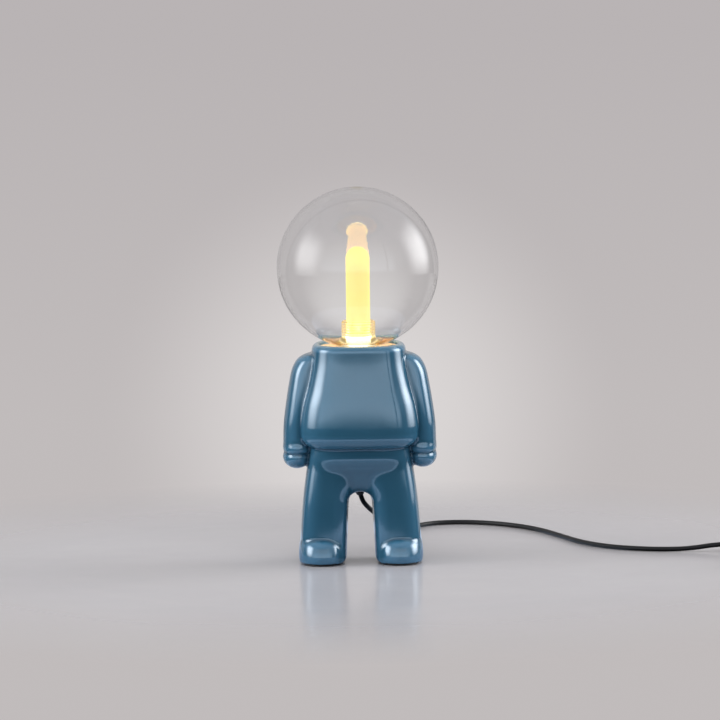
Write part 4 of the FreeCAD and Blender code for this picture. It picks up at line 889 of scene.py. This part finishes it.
def ridges_tree(finish):
    """Rounded ridges in a row, each across Y, that thin out to nothing at their ends."""
    tree, given, close = detail_tree("ridges", finish, [
        ("First", "NodeSocketVector", (0.0, 0.0, 0.0)), ("Last", "NodeSocketVector", (0.02, 0.0, 0.0)),
        ("First Length", "NodeSocketFloat", 0.018), ("Last Length", "NodeSocketFloat", 0.018),
        ("Bead", "NodeSocketFloat", 0.0006)])
    line, share = row_of_places(tree, given)
    stroke = node(tree, "GeometryNodeCurvePrimitiveLine", Start=(0.0, -0.5, 0.0), End=(0.0, 0.5, 0.0))
    stroke = node(tree, "GeometryNodeResampleCurve", Curve=stroke.outputs[0], Count=25).outputs[0]
    length = spread(tree, share, 0.0, 1.0, given["First Length"], given["Last Length"])
    stretch = node(tree, "ShaderNodeCombineXYZ", X=1.0, Y=length, Z=1.0).outputs[0]
    ridges = node(tree, "GeometryNodeInstanceOnPoints", Points=line, Instance=stroke, Scale=stretch)
    along = tree.nodes.new("GeometryNodeSplineParameter").outputs["Factor"]
    off_centre = calc(tree, "SUBTRACT", calc(tree, "MULTIPLY", along, 2.0), 1.0)
    drop = calc(tree, "POWER", calc(tree, "ABSOLUTE", off_centre), 8.0)
    fullness = calc(tree, "SQRT", calc(tree, "SUBTRACT", 1.0, drop))
    close(beaded(tree, given, ridges, Scale=fullness, Fill_Caps=True))
    return tree


def grown(name, tree, **sizes):
    """A plain mesh of what a tree makes with these sizes, in millimetres apart from the count."""
    piece = piece_from(name, np.zeros((0, 3)), [])
    modifier = piece.modifiers.new("detail", "NODES")
    modifier.node_group = tree
    for item in tree.interface.items_tree:
        label = item.name.replace(" ", "_").lower()
        if item.in_out == "INPUT" and label in sizes:
            value = sizes[label]
            modifier[item.identifier] = value if label == "count" else in_metres(value)
    evaluated = piece.evaluated_get(bpy.context.evaluated_depsgraph_get())
    mesh = bpy.data.meshes.new_from_object(evaluated)
    piece.modifiers.clear()
    piece.data = mesh
    outward(piece)
    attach(piece, "root")
    return piece


BLACK_PLASTIC = moulded("black_plastic", (0.013, 0.013, 0.014), (0.022, 0.022, 0.023), 0.35, 0.5)
RINGS, RIDGES = rings_tree(BLACK_PLASTIC), ridges_tree(BLACK_PLASTIC)
relief_rings = grown("plug_relief_rings", RINGS, count=8, first=RELIEF_START, last=RELIEF_END,
                     first_radius=4.5, last_radius=3.5, bead=0.55)
plug_grips = grown("plug_grips", RIDGES, count=4, first=(364.5, PLUG_Y, PLUG_TOP),
                   last=(372.0, PLUG_Y, PLUG_TOP), first_length=21.0, last_length=19.5, bead=GRIP_BEAD)
switch_grips = [
    grown(name, RIDGES, count=4, first=(start, SWITCH_Y, SWITCH_TOP),
          last=(start + 8.0, SWITCH_Y, SWITCH_TOP), first_length=first_length, last_length=last_length,
          bead=GRIP_BEAD)
    for name, start, first_length, last_length in (
        ("switch_grips_near", 353.0, 12.0, 15.0), ("switch_grips_far", 395.0, 15.0, 12.0),
    )
]

tuple(v * MM for v in LEAD_ROUTE[0])

FINISHES = {
    "foot_pad_left": moulded("pad_rubber", (0.012, 0.012, 0.013), (0.02, 0.02, 0.021), 0.6, 0.8, wave=80.0),
    "plate_gasket": moulded("gasket_silicone", (0.25, 0.24, 0.22), (0.2, 0.19, 0.18), 0.45, 0.6),
    "cover_plate": moulded("polished_brass", (0.86, 0.6, 0.3), (0.78, 0.52, 0.24), 0.12, 0.26,
                           wave=90.0, metal=1.0),
    "clamp_bar": moulded("zinc_steel", (0.62, 0.62, 0.6), (0.5, 0.5, 0.47), 0.28, 0.45, metal=1.0),
    "lampholder_cup": painted_glow_plastic(),
    "shade_ring": moulded("white_plastic", (0.8, 0.79, 0.75), (0.74, 0.72, 0.68), 0.25, 0.4),
    "lampholder_insert": moulded("white_porcelain", (0.82, 0.81, 0.78), (0.76, 0.75, 0.71), 0.2, 0.35,
                                 coat=0.6),
    "lampholder_contacts": moulded("contact_brass", (0.8, 0.58, 0.28), (0.66, 0.46, 0.2), 0.25, 0.45,
                                   metal=1.0),
    "live_wire": moulded("brown_insulation", (0.12, 0.045, 0.02), (0.09, 0.035, 0.016), 0.4, 0.55),
    "neutral_wire": moulded("blue_insulation", (0.02, 0.08, 0.35), (0.015, 0.06, 0.28), 0.4, 0.55),
    "cord_gland": BLACK_PLASTIC,
    "switch_rocker": moulded("black_gloss", (0.012, 0.012, 0.013), (0.018, 0.018, 0.019), 0.12, 0.24,
                             coat=0.5),
    "plug_pins": moulded("nickel_plate", (0.72, 0.69, 0.62), (0.64, 0.6, 0.53), 0.16, 0.3, metal=1.0),
    "bulb_led_board": moulded("board_white", (0.85, 0.84, 0.8), (0.78, 0.77, 0.72), 0.4, 0.55),
}
SAME_FINISH = {
    "foot_pad_left": ("foot_pad_right",),
    "plate_gasket": ("cushion_ring",),
    "clamp_bar": ("threaded_tube", "lock_washer", "tube_nut", "switch_screws"),
    "shade_ring": ("terminal_block",),
    "lampholder_insert": ("bulb_base",),
    "lampholder_contacts": ("lampholder_screws", "terminal_screws", "switch_contacts"),
    "plug_pins": ("bulb_pins",),
    "cord_gland": (
        "gland_nut", "switch_lower_shell", "switch_upper_shell", "cord_tie", "plug_body", "plug_relief",
        "plug_sleeves",
    ),
}


def dress(node_name, finish):
    piece = bpy.data.objects[node_name]
    for slot in piece.material_slots:
        slot.material = finish


for name, finish in FINISHES.items():
    dress(name, finish)
for like, names in SAME_FINISH.items():
    for name in names:
        dress(name, FINISHES[like])
dress("inner_cord", SHEATH)


# Studio
def floor_piece():
    """A round floor of faces in rings."""
    points, faces = [], []
    rings = [0.2, 0.4, 0.6, 0.8, 1.0, 1.3, 1.7, 2.2]
    segments = 96
    for radius in rings:
        for k in range(segments):
            angle = 2 * math.pi * k / segments
            points.append((radius * math.cos(angle) / MM, radius * math.sin(angle) / MM, 0.0))
    centre = len(points)
    points.append((0.0, 0.0, 0.0))
    for k in range(segments):
        faces.append((centre, k, (k + 1) % segments))
    for ring_number in range(len(rings) - 1):
        base = ring_number * segments
        for k in range(segments):
            n = (k + 1) % segments
            faces.append((base + k, base + segments + k, base + segments + n, base + n))
    return outward(piece_from("studio_floor", points, faces))


def floor_finish():
    """Pale satin floor. It thins out to the backdrop all round, so no edge shows. As the glaze and the glass
    mirror it, it is a painted reflection: bluish near the figure with a painted bright band, dark beyond,
    pale behind.
    """
    made, tree, shader, place = material("studio_floor")
    soft = noise(tree, place, 3.0, 2.0, 0.5)
    tone = ramp(tree, soft, [(0.3, (0.375, 0.365, 0.385)), (0.7, (0.405, 0.395, 0.415))])
    touched = handling(tree, place, Smudge_Scale=6.0, Least=0.16, Most=0.24,
                       Wave_Scale=8.0, Grain_Scale=300.0, Grain=0.02)
    reach = length_of(tree, place)
    feed(tree, shader, Base_Color=tone, Roughness=touched["Roughness"], IOR=1.2,
         Alpha=spread(tree, reach, 0.3, 0.62, 1.0, 0.0))
    # Painted reflection for glossy rays: bluish out to 0.25 m with a painted bright band from about 0.18 m,
    # then dark, but pale behind the figure
    near = spread(tree, reach, 0.25, 0.262, 1.0, 0.0)
    edge = calc(tree, "MULTIPLY", near, spread(tree, reach, 0.17, 0.19, 0.0, 1.0))
    heading = node(tree, "ShaderNodeVectorMath", {"operation": "NORMALIZE"}, i0=place).outputs[0]
    backward = node(tree, "ShaderNodeSeparateXYZ", Vector=heading).outputs["Y"]
    behind = spread(tree, backward, 0.5, 0.62, 0.0, 1.0)
    painted_far_floor = blend(tree, behind, (0.02, 0.022, 0.024), (0.42, 0.41, 0.41))
    painted_floor_mirror = node(tree, "ShaderNodeBsdfDiffuse", Color=blend(tree, near, painted_far_floor, (0.32, 0.37, 0.48)))
    lit = node(tree, "ShaderNodeEmission", Color=blend(tree, edge, (0.0, 0.0, 0.0), (0.28, 0.34, 0.4)))
    mirrored = node(tree, "ShaderNodeAddShader", i0=painted_floor_mirror.outputs[0], i1=lit.outputs[0])
    path = tree.nodes.new("ShaderNodeLightPath")
    through = calc(tree, "SUBTRACT", 1.0, path.outputs["Is Transmission Ray"])
    put_swap(tree, calc(tree, "MULTIPLY", path.outputs["Is Glossy Ray"], through), shader, mirrored)
    made.cycles.emission_sampling = "NONE"
    return made


def softbox(name, spot, aim, width, height, level, edges=(0.3, 0.3), ends=(0.45, 0.45), glossy=True):
    """A diffuser panel out of the picture. Its light fades over a share of its width and of its height."""
    lamp = bpy.data.lights.new(name, "AREA")
    lamp.shape = "RECTANGLE"
    lamp.size, lamp.size_y = width, height
    lamp.energy = level * math.pi * width * height
    lamp.use_nodes = True
    tree = lamp.node_tree
    place = tree.nodes.new("ShaderNodeNewGeometry").outputs["Parametric"]
    sides = node(tree, "ShaderNodeSeparateXYZ", Vector=place)
    fade = 1.0
    for side, (first, last) in (("X", edges), ("Y", ends)):
        for low, high in ((0.0, first), (1.0, 1.0 - last)):
            fade = calc(tree, "MULTIPLY", smooth(tree, sides.outputs[side], low, high), fade)
    feed(tree, tree.nodes["Emission"], Strength=fade)
    held = put_in_scene(name, lamp)
    held.location = spot
    held.rotation_mode = "QUATERNION"
    held.rotation_quaternion = (Vector(aim) - Vector(spot)).to_track_quat("-Z", "Y")
    held.visible_camera = held.visible_transmission = False
    held.visible_glossy = glossy


def tube_glow(height, reach, power):
    """A ring of small warm lights round the tube: its glow on the cup, the plate and the rim."""
    for k in range(6):
        angle = math.pi * (k + 0.5) / 3
        lamp = bpy.data.lights.new("tube_glow", "POINT")
        lamp.energy = power
        lamp.color = (1.0, 0.5, 0.16)
        lamp.shadow_soft_size = 0.0006
        held = put_in_scene("tube_glow", lamp)
        held.location = in_metres((reach * math.cos(angle), reach * math.sin(angle), height))
        held.visible_camera = held.visible_glossy = held.visible_transmission = False


def studio_world():
    """A pale wall behind, as the camera and the glass see it, and the dim studio that the glaze mirrors."""
    world = bpy.data.worlds.new("studio")
    bpy.context.scene.world = world
    world.use_nodes = True
    tree = world.node_tree
    tree.nodes.clear()
    way = tree.nodes.new("ShaderNodeTexCoord").outputs["Generated"]
    parts = node(tree, "ShaderNodeSeparateXYZ", Vector=way)
    rise, across, depth = parts.outputs["Z"], parts.outputs["X"], parts.outputs["Y"]
    low_wall = spread(tree, rise, -0.11, -0.04, 0.0, 1.0)
    wall = ramp(tree, low_wall, [(0.0, (0.53, 0.50, 0.50)), (1.0, (0.485, 0.455, 0.46))])
    # Painted pool of light on the wall, low behind the figure
    aside = node(tree, "ShaderNodeCombineXYZ", X=across, Y=calc(tree, "ADD", rise, 0.110)).outputs[0]
    painted_wall_glow = smooth(tree, length_of(tree, aside), 0.050, 0.008)
    wall = blend(tree, painted_wall_glow, wall, (0.70, 0.67, 0.665))
    room = ramp(tree, spread(tree, rise, -1.0, 1.0, 0.0, 1.0), [
        (0.0, (0.2, 0.2, 0.2)), (0.46, (0.06, 0.065, 0.07)), (0.51, (0.12, 0.13, 0.14)),
        (0.64, (0.6, 0.64, 0.68)), (1.0, (0.55, 0.56, 0.57)),
    ])
    window = ramp(tree, spread(tree, rise, -0.1, 0.9, 0.0, 1.0), [
        (0.02, (0.0, 0.0, 0.0)), (0.06, (0.5, 0.58, 0.62)), (0.12, (1.55, 1.72, 1.85)),
        (0.3, (1.35, 1.5, 1.6)), (0.5, (1.1, 1.15, 1.2)), (0.65, (1.0, 0.92, 0.85)),
        (0.8, (0.45, 0.42, 0.42)), (0.95, (0.25, 0.25, 0.25)),
    ])
    # A thin dark stand before the window
    stand = calc(tree, "ADD", calc(tree, "DIVIDE", across, depth), 0.95)
    stand = spread(tree, calc(tree, "ABSOLUTE", stand), 0.06, 0.03, 0.0, 0.9)
    window = blend(tree, stand, window, (0.05, 0.05, 0.05))
    room = blend(tree, spread(tree, depth, -0.52, -0.64, 0.0, 1.0), room, window)
    # The wall behind, with a dark edge round it
    wall_way = (-0.120, 0.972, 0.200)
    facing = node(tree, "ShaderNodeVectorMath", {"operation": "DOT_PRODUCT"}, i0=way, i1=wall_way)
    facing = facing.outputs["Value"]
    room = blend(tree, spread(tree, facing, 0.585, 0.6, 0.0, 1.0), room, (0.01, 0.01, 0.01))
    room = blend(tree, spread(tree, facing, 0.632, 0.645, 0.0, 1.0), room, (0.52, 0.505, 0.505))
    path = tree.nodes.new("ShaderNodeLightPath")
    mirrored = blend(tree, path.outputs["Is Glossy Ray"], (0.42, 0.42, 0.42), room)
    seen = calc(tree, "MAXIMUM", path.outputs["Is Camera Ray"], path.outputs["Is Transmission Ray"])
    colour = blend(tree, seen, mirrored, wall)
    back = node(tree, "ShaderNodeBackground", Color=colour, Strength=1.0)
    node(tree, "ShaderNodeOutputWorld", Surface=back.outputs[0])


floor = floor_piece()
floor.data.materials.append(floor_finish())
studio_world()
softbox("left_softbox", (-1.76, -0.37, 0.75), (0, 0, 0.15), 2.1, 2.1, 6.8, edges=(0.4, 0.45))
softbox("right_softbox", (1.76, 0.30, 0.75), (0, 0, 0.15), 2.0, 2.1, 8.0, edges=(0.45, 0.4))
softbox("top_softbox", (0.0, -0.5, 1.9), (0, 0, 0.1), 1.6, 1.2, 6.0, glossy=False)
softbox("front_softbox", (0.0, -3.0, 1.6), (0, 0, 0.15), 2.4, 1.6, 4.0, glossy=False)
tube_glow(height=219.0, reach=12.0, power=0.035)
tube_glow(height=285.0, reach=34.0, power=0.03)

bpy.context.scene.view_settings.view_transform = "Standard"
